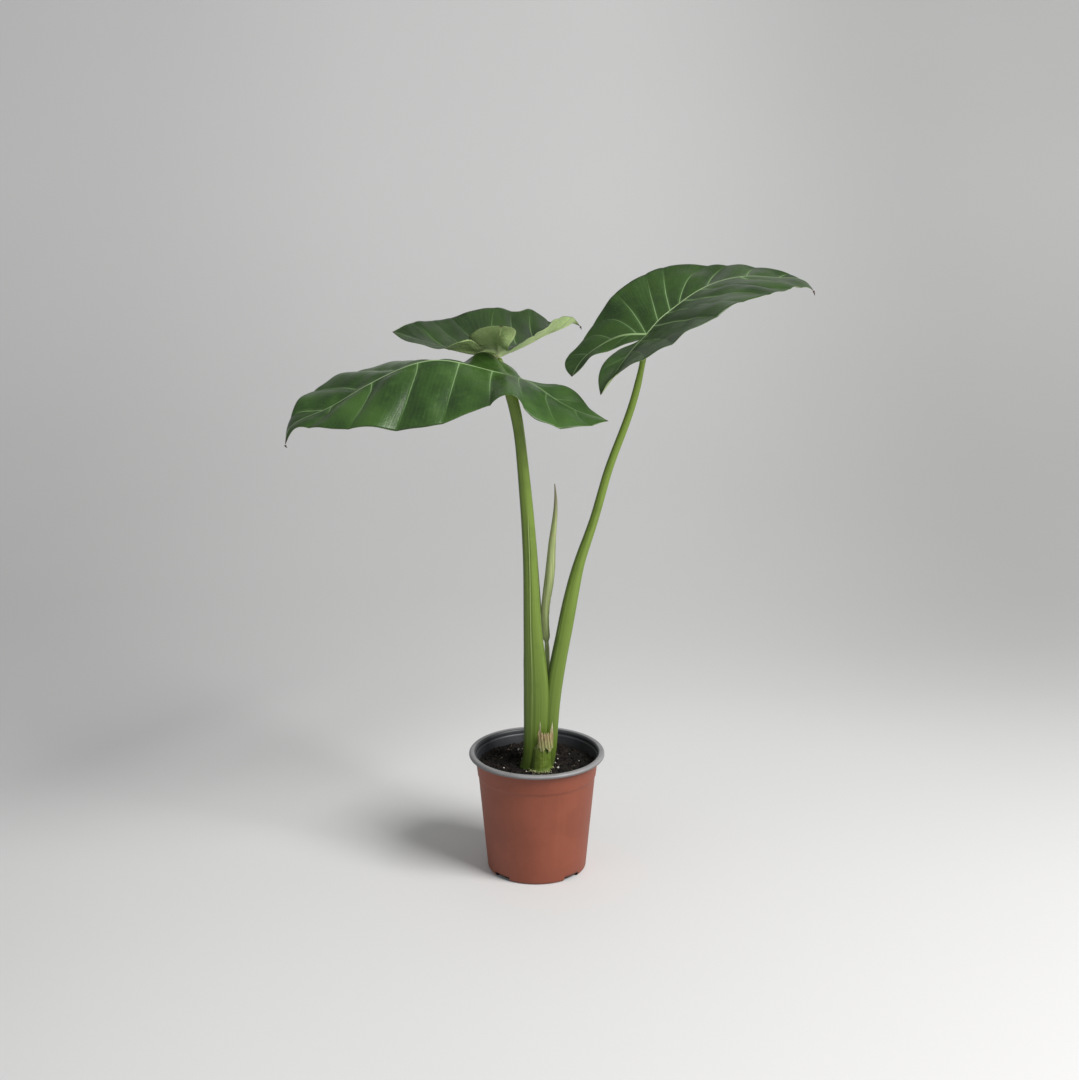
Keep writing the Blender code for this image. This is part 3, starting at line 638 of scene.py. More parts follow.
def stem_points():
    """Profile turned about the stem's middle: swollen at the soil, ringed, and drawn in at its top edge."""
    height = SOIL_LEVEL - TRUNK_ROOT + (STEM_TOP - SOIL_LEVEL + TRUNK_ROOT) * np.linspace(0, 1, STEM_ROWS)
    turn = full_turn(STEM_COLUMNS)[None, :]
    share = np.linspace(0, 1, STEM_ROWS)[:, None]
    top = STEM_TOP - 0.0060 + 0.0055 * np.cos(turn - 5.1) + 0.0008 * np.sin(7 * turn)
    up = height[:, None] - SOIL_LEVEL
    z = SOIL_LEVEL + up * np.clip((top - SOIL_LEVEL) / (STEM_TOP - SOIL_LEVEL), 0, 1)
    scars = sum(np.exp(-((up - place - 0.0008 * np.sin(turn + place * 900)) / 0.0006) ** 2)
                for place in SCAR_HEIGHTS)
    radius = STEM_RADIUS + 0.0014 * np.exp(-np.clip(up, -0.002, 1) / 0.0030) - 0.00016 * scars
    radius = radius + 0.00012 * np.sin(17 * turn + 2 * np.sin(5 * turn)) + 0.0003 * np.sin(2 * turn + 1.0)
    radius = radius * (1 - 0.12 * share ** 2) * np.clip((1 - share) / 0.16, 0, 1) ** 0.30
    radius[0] = 0.0
    x = TRUNK_X + radius * np.cos(turn)
    y = TRUNK_Y + radius * 1.03 * np.sin(turn)
    return np.stack(np.broadcast_arrays(x, y, np.where(radius > 0, z, z.mean(axis=1)[:, None])), axis=-1)


trunk = Finish("stem_green", Coat_Weight=0.12, Coat_Roughness=0.3)
spot = trunk.place()
x, y, z = trunk.axes(spot)
lengthwise = trunk.noise(trunk.place((900.0, 900.0, 60.0)), 1.0, 3.0, 0.6)
cloud = trunk.noise(spot, 190.0, 4.0, 0.6)
bark = trunk.mix((0.075, 0.120, 0.012), (0.155, 0.225, 0.030),
                 cloud.ramp(0.30, 0.70) * 0.6 + lengthwise * 0.35)
# Painted shade: the trunk is darker on its left side.
bark = trunk.mix(bark, (0.045, 0.080, 0.012), x.ramp(STEM_X - 0.005, STEM_X - 0.011) * 0.6)
bark = trunk.mix(bark, (0.25, 0.28, 0.10), lengthwise.ramp(0.58, 0.78) * 0.4)
bark = trunk.mix(bark, (0.24, 0.28, 0.10), z.ramp(SOIL_LEVEL + 0.0035, SOIL_LEVEL - 0.001) * 0.55)
stem_finish = trunk.paint(bark, 0.42 + cloud * 0.16, lengthwise + cloud * 0.4, 0.0002)
stem = add_piece(grid_mesh("leaf_trunk", stem_points(), wrap=True), stem_finish)
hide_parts("stem")
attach(stem, "root")

fringe_turn = full_turn(FRINGE_COUNT) + chance.uniform(-0.06, 0.06, FRINGE_COUNT)
fringe_radius = STEM_RADIUS + 0.0010
fringe_starts = np.stack([TRUNK_X + fringe_radius * np.cos(fringe_turn),
                          TRUNK_Y + fringe_radius * np.sin(fringe_turn),
                          SOIL_LEVEL + chance.uniform(0.0010, 0.0026, FRINGE_COUNT)], axis=-1)
fringe_ends = fringe_starts + np.stack([
    np.cos(fringe_turn) * 0.0026, np.sin(fringe_turn) * 0.0026,
    -chance.uniform(0.0006, 0.0030, FRINGE_COUNT)], axis=-1)


def spikes(starts, ends, girth):
    """Short tapering shoots from start to end, thickest at the start: 5 rings of 6 points."""
    rings, sides = 5, 6
    share = np.linspace(0, 1, rings)[None, :, None]
    droop = np.concatenate([np.zeros((1, rings, 2)), (0.0006 * share * (1 - share) * 4)], axis=-1)
    centres = starts[:, None] * (1 - share) + ends[:, None] * share + droop
    along = (ends - starts) / np.linalg.norm(ends - starts, axis=1)[:, None]
    side = np.cross(along, [0, 0, 1.0])
    side /= np.linalg.norm(side, axis=1)[:, None]
    up = np.cross(side, along)
    turn = full_turn(sides)[None, None, :, None]
    thick = (girth * np.array([0, 1, 0.75, 0.4, 0]))[None, :, None, None]
    around = side[:, None, None] * np.cos(turn) + up[:, None, None] * np.sin(turn)
    points = centres[:, :, None] + thick * around
    faces = grid_quads(rings, sides, wrap=True, flip=True)
    return points.reshape(-1, 3), copied(faces, rings * sides, len(starts))


torn = Finish("torn_fringe", Roughness=0.6)
tint = torn.noise(torn.place(), 500.0)
fringe_finish = torn.paint(torn.mix((0.16, 0.19, 0.05), (0.46, 0.47, 0.24), tint.ramp(0.35, 0.65)))
fringe = add_piece(build_mesh("stem_fringe", *spikes(fringe_starts, fringe_ends, 0.00034)), fringe_finish)
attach(fringe, "root")

# ------------------------------------------------------------------ petioles
# Three leaf stalks, fleshy and faintly striped. Low down each is a sheath whose two thin pale edges
# wrap round the next leaf, and above it a round stalk with a shallow groove on its inner side.
# Each grew from the trunk, and its top bends into the underside of its blade.

STALK_COLUMNS = 72
STALK_ROWS = 170
ROOT_ROWS = 8                   # that carry a stalk on from the foot of its CAD solid into the soil,
ROOT_DEPTH = 0.002              # to this depth
LEAST_HALF = 0.0026             # least half width of a stalk, except where its tip closes
FOOT_TOP = 0.225                # height at which a foot begins to widen downwards
FOOT_EASE = 0.075               # and over which it does so
FLARE_HEIGHT = 0.010            # over which the flare at the very foot dies away to about a third


def lengths_along(points):
    """Length along a line of points, from 0 at the first of them."""
    return np.concatenate([[0.0], np.cumsum(np.linalg.norm(np.diff(points, axis=0), axis=1))])


def eased(share):
    """S-shaped rise from 0 to 1: 3 t^2 - 2 t^3."""
    return share * share * (3 - 2 * share)


def through(points, shares):
    """Natural cubic curve through points, read at shares of its chord length."""
    points = np.asarray(points, dtype=float)
    knots = lengths_along(points)
    knots /= knots[-1]
    gaps = np.diff(knots)
    count = len(points)
    system = np.eye(count)
    inner = np.arange(1, count - 1)
    system[inner, inner - 1] = gaps[:-1]
    system[inner, inner] = 2 * (gaps[:-1] + gaps[1:])
    system[inner, inner + 1] = gaps[1:]
    pull = np.zeros_like(points)
    slopes = np.diff(points, axis=0) / gaps[:, None]
    pull[1:-1] = 6 * np.diff(slopes, axis=0)
    bend = np.linalg.solve(system, pull)
    shares = np.clip(np.asarray(shares, dtype=float), 0.0, 1.0)
    k = np.clip(np.searchsorted(knots, shares, side="right") - 1, 0, count - 2)
    after, before, gap = (shares - knots[k])[:, None], (knots[k + 1] - shares)[:, None], gaps[k][:, None]
    return ((bend[k] * before ** 3 + bend[k + 1] * after ** 3) / (6 * gap)
            + (points[k] / gap - bend[k] * gap / 6) * before
            + (points[k + 1] / gap - bend[k + 1] * gap / 6) * after)


def rings_of(node, sides=14):
    """Centres and half sizes of the rings that a CAD stalk is made of, from its foot up."""
    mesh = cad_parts[node].data
    points = np.zeros(len(mesh.vertices) * 3)
    mesh.vertices.foreach_get("co", points)
    points = np.unique(np.round(points.reshape(-1, 3), 6), axis=0)
    points = points[np.argsort(points[:, 2])]
    points = points[:len(points) // sides * sides].reshape(-1, sides, 3)
    spread = points.max(axis=1) - points.min(axis=1)
    return points.mean(axis=1), spread[:, :2] / 2


def stalk_frame(centres):
    """Unit vectors across a centre line (towards +X) and behind it (towards +Y)."""
    along = np.gradient(centres, axis=0)
    along /= np.linalg.norm(along, axis=1)[:, None]
    across = np.cross([0.0, 1.0, 0.0], along)
    across /= np.linalg.norm(across, axis=1)[:, None]
    return across, np.cross(along, across)


def half_sizes(centres, half, shares):
    """Half widths of a CAD stalk at shares of its length, in straight steps from ring to ring."""
    chord = lengths_along(centres)
    return np.stack([np.interp(shares, chord / chord[-1], half[:, k]) for k in (0, 1)], axis=-1)


def stalk_mesh(name, centres, half, relief, edge=None):
    """Ellipses along a centre line, each point pushed out by relief(up, turn), with both ends closed.

    up is the height share from 0 to 1 and turn the angle round the stalk. The map "stalk" holds
    the share round the stalk and the length along it in metres, and the map "sheath", where edge is
    given, what edge(up, turn) gives: the signed angle from the nearest sheath edge, and how much of
    a sheath is left at that height.
    """
    rows = len(centres)
    across, behind = stalk_frame(centres)
    turn = full_turn(STALK_COLUMNS)
    up = np.linspace(0, 1, rows)
    swell = 1 + relief(up[:, None], turn[None, :])
    swell[[0, -1]] = 0.0
    out = (across[:, None] * (half[:, :1] * np.cos(turn))[..., None]
           + behind[:, None] * (half[:, 1:] * np.sin(turn))[..., None])
    points = centres[:, None] + out * swell[..., None]
    quads = grid_quads(rows, STALK_COLUMNS, wrap=True)
    row, column = np.divmod(np.arange(len(quads)), STALK_COLUMNS)
    length = lengths_along(centres)
    around = np.stack([column, column + 1, column + 1, column], axis=-1) / STALK_COLUMNS
    height = np.stack([length[row], length[row], length[row + 1], length[row + 1]], axis=-1)
    maps = {"stalk": np.stack([around, height], axis=-1)}
    if edge:
        rows_up = up[np.stack([row, row, row + 1, row + 1], axis=-1)]
        maps["sheath"] = np.stack(edge(rows_up, around * 2 * math.pi), axis=-1)
    return build_mesh(name, points.reshape(-1, 3), quads, maps)


def angle_from(turn, middle):
    """Signed angle from a middle direction, wrapped to half a turn each way."""
    return (turn - middle + math.pi) % (2 * math.pi) - math.pi


def sheath_edges(inner_side, sheath_top, spread):
    """Function that gives the signed angle from the nearer sheath edge, and how much sheath is left.

    The edges stand spread radians to each side of the inner side, and come closer towards sheath_top,
    where the sheath fades out.
    """
    def edges(up, turn):
        """The angle and the share at a height share and an angle round the stalk."""
        off = angle_from(turn, inner_side)
        low = 1 / (1 + np.exp((up - sheath_top) / 0.012))
        open_edge = spread * (0.70 + 0.30 * np.clip(1 - up / sheath_top, 0, 1) ** 0.5)
        return np.broadcast_arrays(np.abs(off) - open_edge, low)
    return edges


def sheath_relief(inner_side, sheath_top, spread):
    """Function that gives the relief: sheath edges up to sheath_top, a groove on the inner side, and ribs.

    A sheath edge is a step that dies away outside it, the groove a bell curve, and the ribs are sine waves.
    """
    edges = sheath_edges(inner_side, sheath_top, spread)

    def relief(up, turn):
        """How far out the surface stands, as a share of the stalk's half width."""
        from_edge, low = edges(up, turn)
        off = angle_from(turn, inner_side)
        step = np.exp(-np.clip(from_edge, 0, 9) / 0.30) * (from_edge > -0.04)
        groove = np.exp(-(off / 0.55) ** 2)
        ribs = np.sin(23 * turn + 1.5 * np.sin(9 * up)) + 0.6 * np.sin(41 * turn)
        return (0.070 * step * low - 0.060 * groove * (1 - 0.5 * low)
                + 0.0028 * ribs + 0.003 * np.sin(60 * up + 3 * turn))
    return relief


def stalk_finish(name, dark, mid, pale):
    """Fleshy striped green, darker at the foot and on its left side (partly a darker green, partly painted
    shade), with thin pale sheath edges and a painted shadow beside each.
    """
    flesh = Finish(name, Coat_Weight=0.10, Coat_Roughness=0.28, Specular_IOR_Level=0.35)
    around, height = flesh.map("stalk")
    from_edge, sheathed = flesh.map("sheath")
    stripe = flesh.noise(flesh.point(around * 30.0, height * 7.0), 1.0, 3.0, 0.6)
    fine = flesh.noise(flesh.point(around * 110.0, height * 20.0), 1.0, 2.0, 0.6)
    cloud = flesh.noise(flesh.place(), 60.0, 3.0)
    dark_and_shaded_side = (around - 0.50).math("ABSOLUTE").ramp(0.17, 0.04)
    colour = flesh.mix(dark, mid, stripe.ramp(0.12, 0.58))
    upper = height.ramp(0.03, 0.16)
    bright = stripe.ramp(0.56, 0.76) * (upper * 0.40 + 0.15) + fine.ramp(0.62, 0.80) * 0.2
    colour = flesh.mix(colour, pale, bright)
    colour = flesh.mix(colour, dark, cloud.ramp(0.52, 0.72) * 0.30)
    # Darker on the left side: partly a darker green, partly painted shade.
    colour = flesh.mix(colour, (0.040, 0.075, 0.012), dark_and_shaded_side * 0.70)
    off_edge = from_edge.math("ABSOLUTE")
    sheathed = sheathed * (upper * 0.8 + 0.2)
    # Painted shadow: a dark line beside each pale sheath edge.
    colour = flesh.mix(colour, dark, (off_edge - 0.14).math("ABSOLUTE").ramp(0.12, 0.03) * sheathed * 0.80)
    colour = flesh.mix(colour, (0.340, 0.410, 0.170), off_edge.ramp(0.055, 0.015) * sheathed * 0.80)
    colour = flesh.mix(colour, dark, height.ramp(0.190, 0.050) * 0.38)
    colour = flesh.mix(colour, (0.065, 0.100, 0.022), height.ramp(0.034, 0.006) * 0.60)
    return flesh.paint(colour, 0.36 + cloud * 0.12 + fine * 0.06, stripe * 0.6 + fine * 0.4, 0.00024, 0.75)


def stalk_line(centres, half, foot, flare, shift):
    """Centre line and half sizes of a stalk: the CAD's, smoothed, and carried straight on into the soil.

    Below FOOT_TOP it eases over by foot along x and widens by as much. Its very foot widens by flare and
    moves by shift (x, y), both of which die away exponentially with height.
    """
    shares = np.linspace(0, 1, STALK_ROWS)
    path = through(centres, shares)
    sizes = half_sizes(centres, half, shares)
    sizes = np.maximum(sizes, LEAST_HALF * np.clip((1.0 - shares) / 0.006, 0, 1)[:, None] ** 0.5)
    down = np.linspace(SOIL_LEVEL - ROOT_DEPTH, path[0, 2], ROOT_ROWS + 1)[:-1]
    slope = (path[1] - path[0]) / (path[1, 2] - path[0, 2])
    root = np.stack(np.broadcast_arrays(path[0, 0], path[0, 1], down), axis=-1)
    root = root + slope * np.array([1, 1, 0]) * (down - path[0, 2])[:, None]
    path = np.vstack([root, path])
    sizes = np.vstack([np.repeat(sizes[:1], ROOT_ROWS, axis=0), sizes])
    low = eased(np.clip((FOOT_TOP - path[:, 2]) / FOOT_EASE, 0, 1))
    base = np.exp(-np.clip(path[:, 2] - SOIL_LEVEL, 0, 1) / FLARE_HEIGHT)
    sizes[:, 0] += abs(foot) * low
    path[:, 0] += foot * low
    sizes[:, 0] += base * flare
    path[:, :2] += base[:, None] * shift
    return path, sizes


PETIOLE_DARK = (0.072, 0.122, 0.012)
PETIOLE_MID = (0.150, 0.228, 0.030)
PETIOLE_PALE = (0.290, 0.370, 0.105)
STALKS = (
    # side, direction of the inner side (degrees), top of the sheath (share of the height), spread of its
    # edges (radians), then the foot, flare and shift, with which the three sheaths meet at the trunk
    ("front", 350.0, 0.66, 1.80, 0.0016, 0.0022, (-0.0020, 0.0024)),
    ("back", 300.0, 0.42, 1.00, 0.0004, -0.0012, (-0.0022, 0.0)),
    ("right", 165.0, 0.415, 1.30, -0.0013, -0.0012, (-0.0022, 0.0024)))
tips = {}                       # where each petiole ends, for its blade
for side, inner_side, sheath_top, spread, foot, flare, shift in STALKS:
    centres, half = rings_of("petiole_" + side)
    tips[side] = centres[-1]
    path, sizes = stalk_line(centres, half, foot, flare, shift)
    turn_in = math.radians(inner_side)
    finish = stalk_finish("petiole_green_" + side, PETIOLE_DARK, PETIOLE_MID, PETIOLE_PALE)
    relief = sheath_relief(turn_in, sheath_top, spread)
    edges = sheath_edges(turn_in, sheath_top, spread)
    stalk = add_piece(stalk_mesh("leaf_stalk_" + side, path, sizes, relief, edges), finish)
    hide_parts("petiole_" + side)
    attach(stalk, "root")

# ------------------------------------------------------------------ rolled leaf
# The youngest leaf, still rolled into a pointed spear round its own midrib, pale and faintly ribbed.
# One edge of the roll shows as a line of painted shade that winds up the spear, and a thin stalk carries it.

ROLL_FOOT = 0.40                # where the rolled blade begins, as a share of the spear's height
ROLL_SHOULDER = 0.72            # above which it draws in to its point
ROLL_HALF = 0.0036              # least half width of the roll, between those two
ROLL_START = 250.0              # degrees round the spear, of the roll's free edge at the spear's foot
ROLL_TURNS = 0.42               # that the free edge winds round the spear
SPEAR_STALK_HALF = 0.0021       # least half width of its stalk
SPEAR_LENGTH = 0.252            # along its curve
SMOOTH_ROWS = 9                 # over which its widths are averaged

centres, half = rings_of("spear_leaf")
shares = np.linspace(0, 1, STALK_ROWS)
spear_sizes = half_sizes(centres, half, shares)
for k in (0, 1):
    padded = np.pad(spear_sizes[:, k], SMOOTH_ROWS // 2, mode="edge")
    spear_sizes[:, k] = np.convolve(padded, np.ones(SMOOTH_ROWS) / SMOOTH_ROWS, mode="valid")
spear_sizes = np.maximum(spear_sizes, SPEAR_STALK_HALF * np.clip((0.55 - shares) / 0.15, 0, 1)[:, None])
swollen = np.clip((shares - ROLL_FOOT) / 0.05, 0, 1) * np.clip((ROLL_SHOULDER - shares) / 0.08, 0, 1)
spear_sizes = np.maximum(spear_sizes, ROLL_HALF * eased(swollen)[:, None])


def roll_relief(up, turn):
    """A spiral: the radius grows once round to a step, the roll's free edge, which winds upwards."""
    edge = math.radians(ROLL_START) + 2 * math.pi * ROLL_TURNS * up
    share = ((turn - edge) / (2 * math.pi)) % 1.0
    rolled = np.clip((up - ROLL_FOOT) / 0.06, 0, 1)
    lip = np.exp(-((1 - share) / 0.035) ** 2)
    ribs = np.sin(15 * turn + 40 * up) * 0.012
    return rolled * (0.20 * (share - 0.5) + 0.10 * lip + ribs)


rolled = Finish("spear_green", Coat_Weight=0.15, Coat_Roughness=0.35)
around, height = rolled.map("stalk")
edge_share = (around - ROLL_START / 360 - height * (ROLL_TURNS / SPEAR_LENGTH)).from_whole()
ribbing = rolled.noise(rolled.point(around * 22.0 + height * 60.0, height * 20.0), 1.0, 3.0, 0.6)
cloud = rolled.noise(rolled.place(), 120.0, 3.0)
young = rolled.mix((0.165, 0.215, 0.060), (0.380, 0.440, 0.190), ribbing.ramp(0.30, 0.70))
# Painted shade: a dark line along the roll's free edge, where it overlaps the roll.
young = rolled.mix(young, (0.110, 0.150, 0.045), edge_share.ramp(0.075, 0.015) * 0.7)
young = rolled.mix(young, (0.400, 0.500, 0.200), height.ramp(0.115, 0.085))
young = rolled.mix(young, (0.130, 0.105, 0.070), height.ramp(0.205, 0.248) * 0.85)
young = rolled.mix(young, (0.300, 0.230, 0.130), cloud.ramp(0.62, 0.72) * 0.35)
spear_finish = rolled.paint(young, 0.42 + cloud * 0.15, ribbing, 0.0003, 0.8)
spear_line = through(centres, shares)
spear = add_piece(stalk_mesh("rolled_leaf", spear_line, spear_sizes, roll_relief), spear_finish)
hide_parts("spear_leaf")
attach(spear, "root")

# ------------------------------------------------------------------ dry sheath
# The papery rest of the first sheath leaf, tan and fibrous, split at the top into thin curled points.
# It grew round the foot of the petioles, and it still clings there.

sheath_low, sheath_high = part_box("cataphyll")
SHEATH_FOOT = sheath_low[2] + 0.0130
SHEATH_TOP = sheath_high[2] - 0.0005
SHEATH_RADIUS = 0.0134
SHEATH_MIDDLE = 276.0           # degrees from +X, of its middle at the foot
SHEATH_SPREAD = 31.0            # degrees to each side of it
SHEATH_POINT = 0.78             # place of the two points, from 0 in the middle to 1 at the side
SHEATH_WALL = 0.00025
SHEATH_ROWS = 90
SHEATH_COLUMNS = 64


def sheath_points():
    """Part of a cylinder, leaning out upwards, whose top is cut by a ragged double-pointed outline."""
    across = np.linspace(-1, 1, SHEATH_COLUMNS)
    up = np.linspace(0, 1, SHEATH_ROWS)[:, None]
    points = 0.56 + 0.44 * np.clip(1 - np.abs(np.abs(across) - SHEATH_POINT) / 0.26, 0, 1) ** 1.6
    ragged = points + 0.030 * np.sin(across * 23) + 0.020 * np.sin(across * 51 + 1)
    foot = 0.07 * np.sin(across * 7 + 1) + 0.025 * np.sin(across * 25)
    height = SHEATH_FOOT + (SHEATH_TOP - SHEATH_FOOT) * (foot * (1 - up) + np.clip(ragged, 0, 1) * up)
    rise = (height - SHEATH_FOOT) / (SHEATH_TOP - SHEATH_FOOT)
    turn = np.radians(SHEATH_MIDDLE + 2 * rise + SHEATH_SPREAD * across * (1 - 0.12 * rise))
    curl = 0.0016 * rise ** 3 * (np.abs(across) > 0.5)
    crumple = 0.00025 * np.sin(across * 17 + rise * 9) + 0.00015 * np.sin(across * 41 - rise * 5)
    radius = SHEATH_RADIUS + curl + crumple
    x = STEM_X + radius * np.cos(turn)
    y = STEM_Y - 0.0005 - 0.0035 * rise + radius * np.sin(turn)
    return np.stack([x, y, height], axis=-1)


papery = Finish("dry_sheath", Roughness=0.75)
threads_along = papery.noise(papery.place((760.0, 760.0, 70.0)), 1.0, 4.0, 0.7)
cloud = papery.noise(papery.place(), 210.0, 4.0, 0.6)
x, y, z = papery.axes(papery.place())
tan = papery.mix((0.270, 0.195, 0.090), (0.470, 0.370, 0.190), threads_along.ramp(0.28, 0.72))
tan = papery.mix(tan, (0.350, 0.390, 0.150), z.ramp(SHEATH_FOOT + 0.016, SHEATH_FOOT) * 0.8)
tan = papery.mix(tan, (0.600, 0.600, 0.400), z.ramp(SHEATH_TOP - 0.016, SHEATH_TOP - 0.004) * 0.7)
tan = papery.mix(tan, (0.180, 0.110, 0.050), cloud.ramp(0.58, 0.72) * 0.5)
sheath_finish = papery.paint(tan, None, threads_along + cloud * 0.5, 0.0004)
sheath = add_piece(grid_mesh("dry_sheath", sheath_points()), sheath_finish)
sheath_wall = sheath.modifiers.new("wall", "SOLIDIFY")
sheath_wall.thickness = SHEATH_WALL
sheath_wall.offset = 0.0
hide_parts("cataphyll")
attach(sheath, "root")

# ------------------------------------------------------------------ leaf blades
# Three arrow-shaped leathery blades with a midrib, side veins, a main vein (costa) in each lobe and a notch
# (sinus) between the lobes. Pale veins lie sunk in the dark upper face, and stand out as ribs below.
# A blade grew from its petiole's tip, and its own tip is drawn out into a dry, curled drip tip.

LOBE_ROWS = 60
TIP_ROWS = 130
BLADE_COLUMNS = 44
SINUS_COLUMNS = 16
LOBE_SHARE = 0.37               # of the outer edge that belongs to the lobe
BLADE_THICKNESS = 0.0006
JOINT_GAP = 0.0011              # between the end of the petiole's CAD solid and the blade
DRIP_RINGS = 24
DRIP_SIDES = 12
DRIP_GIRTH = 0.00105

# In shares of the blade's length from its joint: x towards the tip, y to its left, z up.
# edge runs along the outer side, from the lobe's tip to the blade's tip, and sinus along the notch, from
# near the joint to the lobe's tip.
# veins gives each side vein's place on the rib and at the edge, from -1 (lobe tip) to 1 (blade tip).
SHAPE_FRONT = {
    "midrib": ((0, 0, 0), (0.10, 0, 0.030), (0.19, 0, 0.055), (0.29, 0, 0.064), (0.45, 0, 0.018),
               (0.60, 0.01, -0.055), (0.75, 0.01, -0.135), (0.88, 0.02, -0.205), (0.895, 0.02, -0.265)),
    "left": {
        "costa": ((0, 0, 0), (-0.11, 0.05, -0.03), (-0.19, 0.10, -0.08), (-0.29, 0.16, -0.13),
                  (-0.41, 0.22, -0.16)),
        "edge": ((-0.41, 0.22, -0.16), (-0.33, 0.26, -0.165), (-0.22, 0.295, -0.162), (-0.13, 0.30, -0.14),
                 (-0.07, 0.30, -0.10), (-0.02, 0.295, -0.040), (0.04, 0.29, -0.032), (0.13, 0.27, -0.075),
                 (0.24, 0.265, -0.13), (0.36, 0.26, -0.155), (0.50, 0.245, -0.155), (0.62, 0.215, -0.155),
                 (0.75, 0.15, -0.168), (0.85, 0.06, -0.185), (0.895, 0.02, -0.265)),
        "sinus": ((-0.03, -0.01, -0.01), (-0.10, -0.01, -0.035), (-0.16, 0, -0.045), (-0.22, 0.025, -0.04),
                  (-0.29, 0.07, -0.065), (-0.35, 0.14, -0.125), (-0.41, 0.22, -0.16)),
        "crown": 0.020,
        "veins": ((-0.70, -0.85), (-0.42, -0.60), (-0.15, -0.29), (0.04, 0.01), (0.18, 0.225), (0.35, 0.42),
                  (0.55, 0.63), (0.74, 0.82))},
    "right": {
        "costa": ((0, 0, 0), (-0.09, -0.07, -0.05), (-0.20, -0.13, -0.13), (-0.31, -0.19, -0.21),
                  (-0.40, -0.23, -0.26)),
        "edge": ((-0.40, -0.23, -0.26), (-0.29, -0.29, -0.24), (-0.17, -0.30, -0.13), (-0.09, -0.30, -0.055),
                 (-0.02, -0.285, 0.005), (0.05, -0.28, 0.025), (0.15, -0.28, -0.008), (0.27, -0.285, -0.015),
                 (0.44, -0.28, -0.008), (0.60, -0.24, -0.025), (0.755, -0.18, -0.068), (0.86, -0.07, -0.14),
                 (0.895, 0.02, -0.265)),
        "sinus": ((-0.03, -0.01, -0.01), (-0.12, -0.05, -0.07), (-0.22, -0.10, -0.15),
                  (-0.32, -0.165, -0.22), (-0.40, -0.23, -0.26)),
        "crown": 0.006,
        "veins": ((-0.72, -0.86), (-0.48, -0.62), (-0.27, -0.42), (-0.10, -0.20), (0.08, 0.08), (0.24, 0.30),
                  (0.42, 0.50), (0.60, 0.70), (0.78, 0.88))}}
SHAPE_BACK = {
    "midrib": ((0, 0, 0), (0.13, 0, 0), (0.30, 0, -0.005), (0.59, 0, 0), (0.77, -0.01, 0),
               (0.91, -0.02, 0.005), (1.00, -0.02, -0.01), (1.02, -0.03, -0.03)),
    "left": {
        "costa": ((0, 0, 0), (-0.09, 0.03, 0.03), (-0.15, 0.07, 0.04), (-0.22, 0.13, 0.065),
                  (-0.28, 0.20, 0.09), (-0.35, 0.30, 0.13), (-0.41, 0.40, 0.17)),
        "edge": ((-0.41, 0.40, 0.17), (-0.32, 0.39, 0.18), (-0.22, 0.37, 0.19), (-0.11, 0.345, 0.18),
                 (0.01, 0.31, 0.17), (0.21, 0.245, 0.18), (0.40, 0.17, 0.17), (0.54, 0.12, 0.13),
                 (0.63, 0.10, 0.13), (0.70, 0.08, 0.09), (0.80, 0.05, 0.03), (0.91, 0.00, 0.01),
                 (1.02, -0.03, -0.03)),
        "sinus": ((-0.06, 0.03, 0.03), (-0.20, 0.02, 0.10), (-0.29, 0.04, 0.14), (-0.33, 0.07, 0.13),
                  (-0.38, 0.13, 0.10), (-0.42, 0.22, 0.12), (-0.43, 0.33, 0.14), (-0.41, 0.40, 0.17)),
        "crown": -0.03,
        "veins": ((-0.50, -0.65), (-0.25, -0.40), (-0.03, -0.16), (0.03, 0.25), (0.25, 0.38), (0.45, 0.55),
                  (0.65, 0.72))},
    "right": {
        "costa": ((0, 0, 0), (-0.09, -0.04, 0.06), (-0.19, -0.09, 0.13), (-0.26, -0.14, 0.22)),
        "edge": ((-0.26, -0.14, 0.22), (-0.24, -0.18, 0.21), (-0.215, -0.20, 0.19), (-0.22, -0.19, 0.145),
                 (-0.235, -0.165, 0.10), (-0.21, -0.15, 0.076), (-0.12, -0.15, 0.08), (-0.02, -0.155, 0.088),
                 (0.19, -0.14, 0.0975), (0.42, -0.11, 0.10), (0.68, -0.08, 0.09), (0.88, -0.05, 0.045),
                 (1.02, -0.03, -0.03)),
        "sinus": ((-0.06, 0.03, 0.03), (-0.17, 0.03, 0.09), (-0.24, 0.05, 0.14), (-0.28, -0.02, 0.19),
                  (-0.28, -0.07, 0.21), (-0.26, -0.14, 0.22)),
        "crown": -0.01,
        "veins": ((-0.60, -0.70), (-0.25, -0.40), (0.05, 0.02), (0.22, 0.28), (0.42, 0.50), (0.62, 0.72))}}
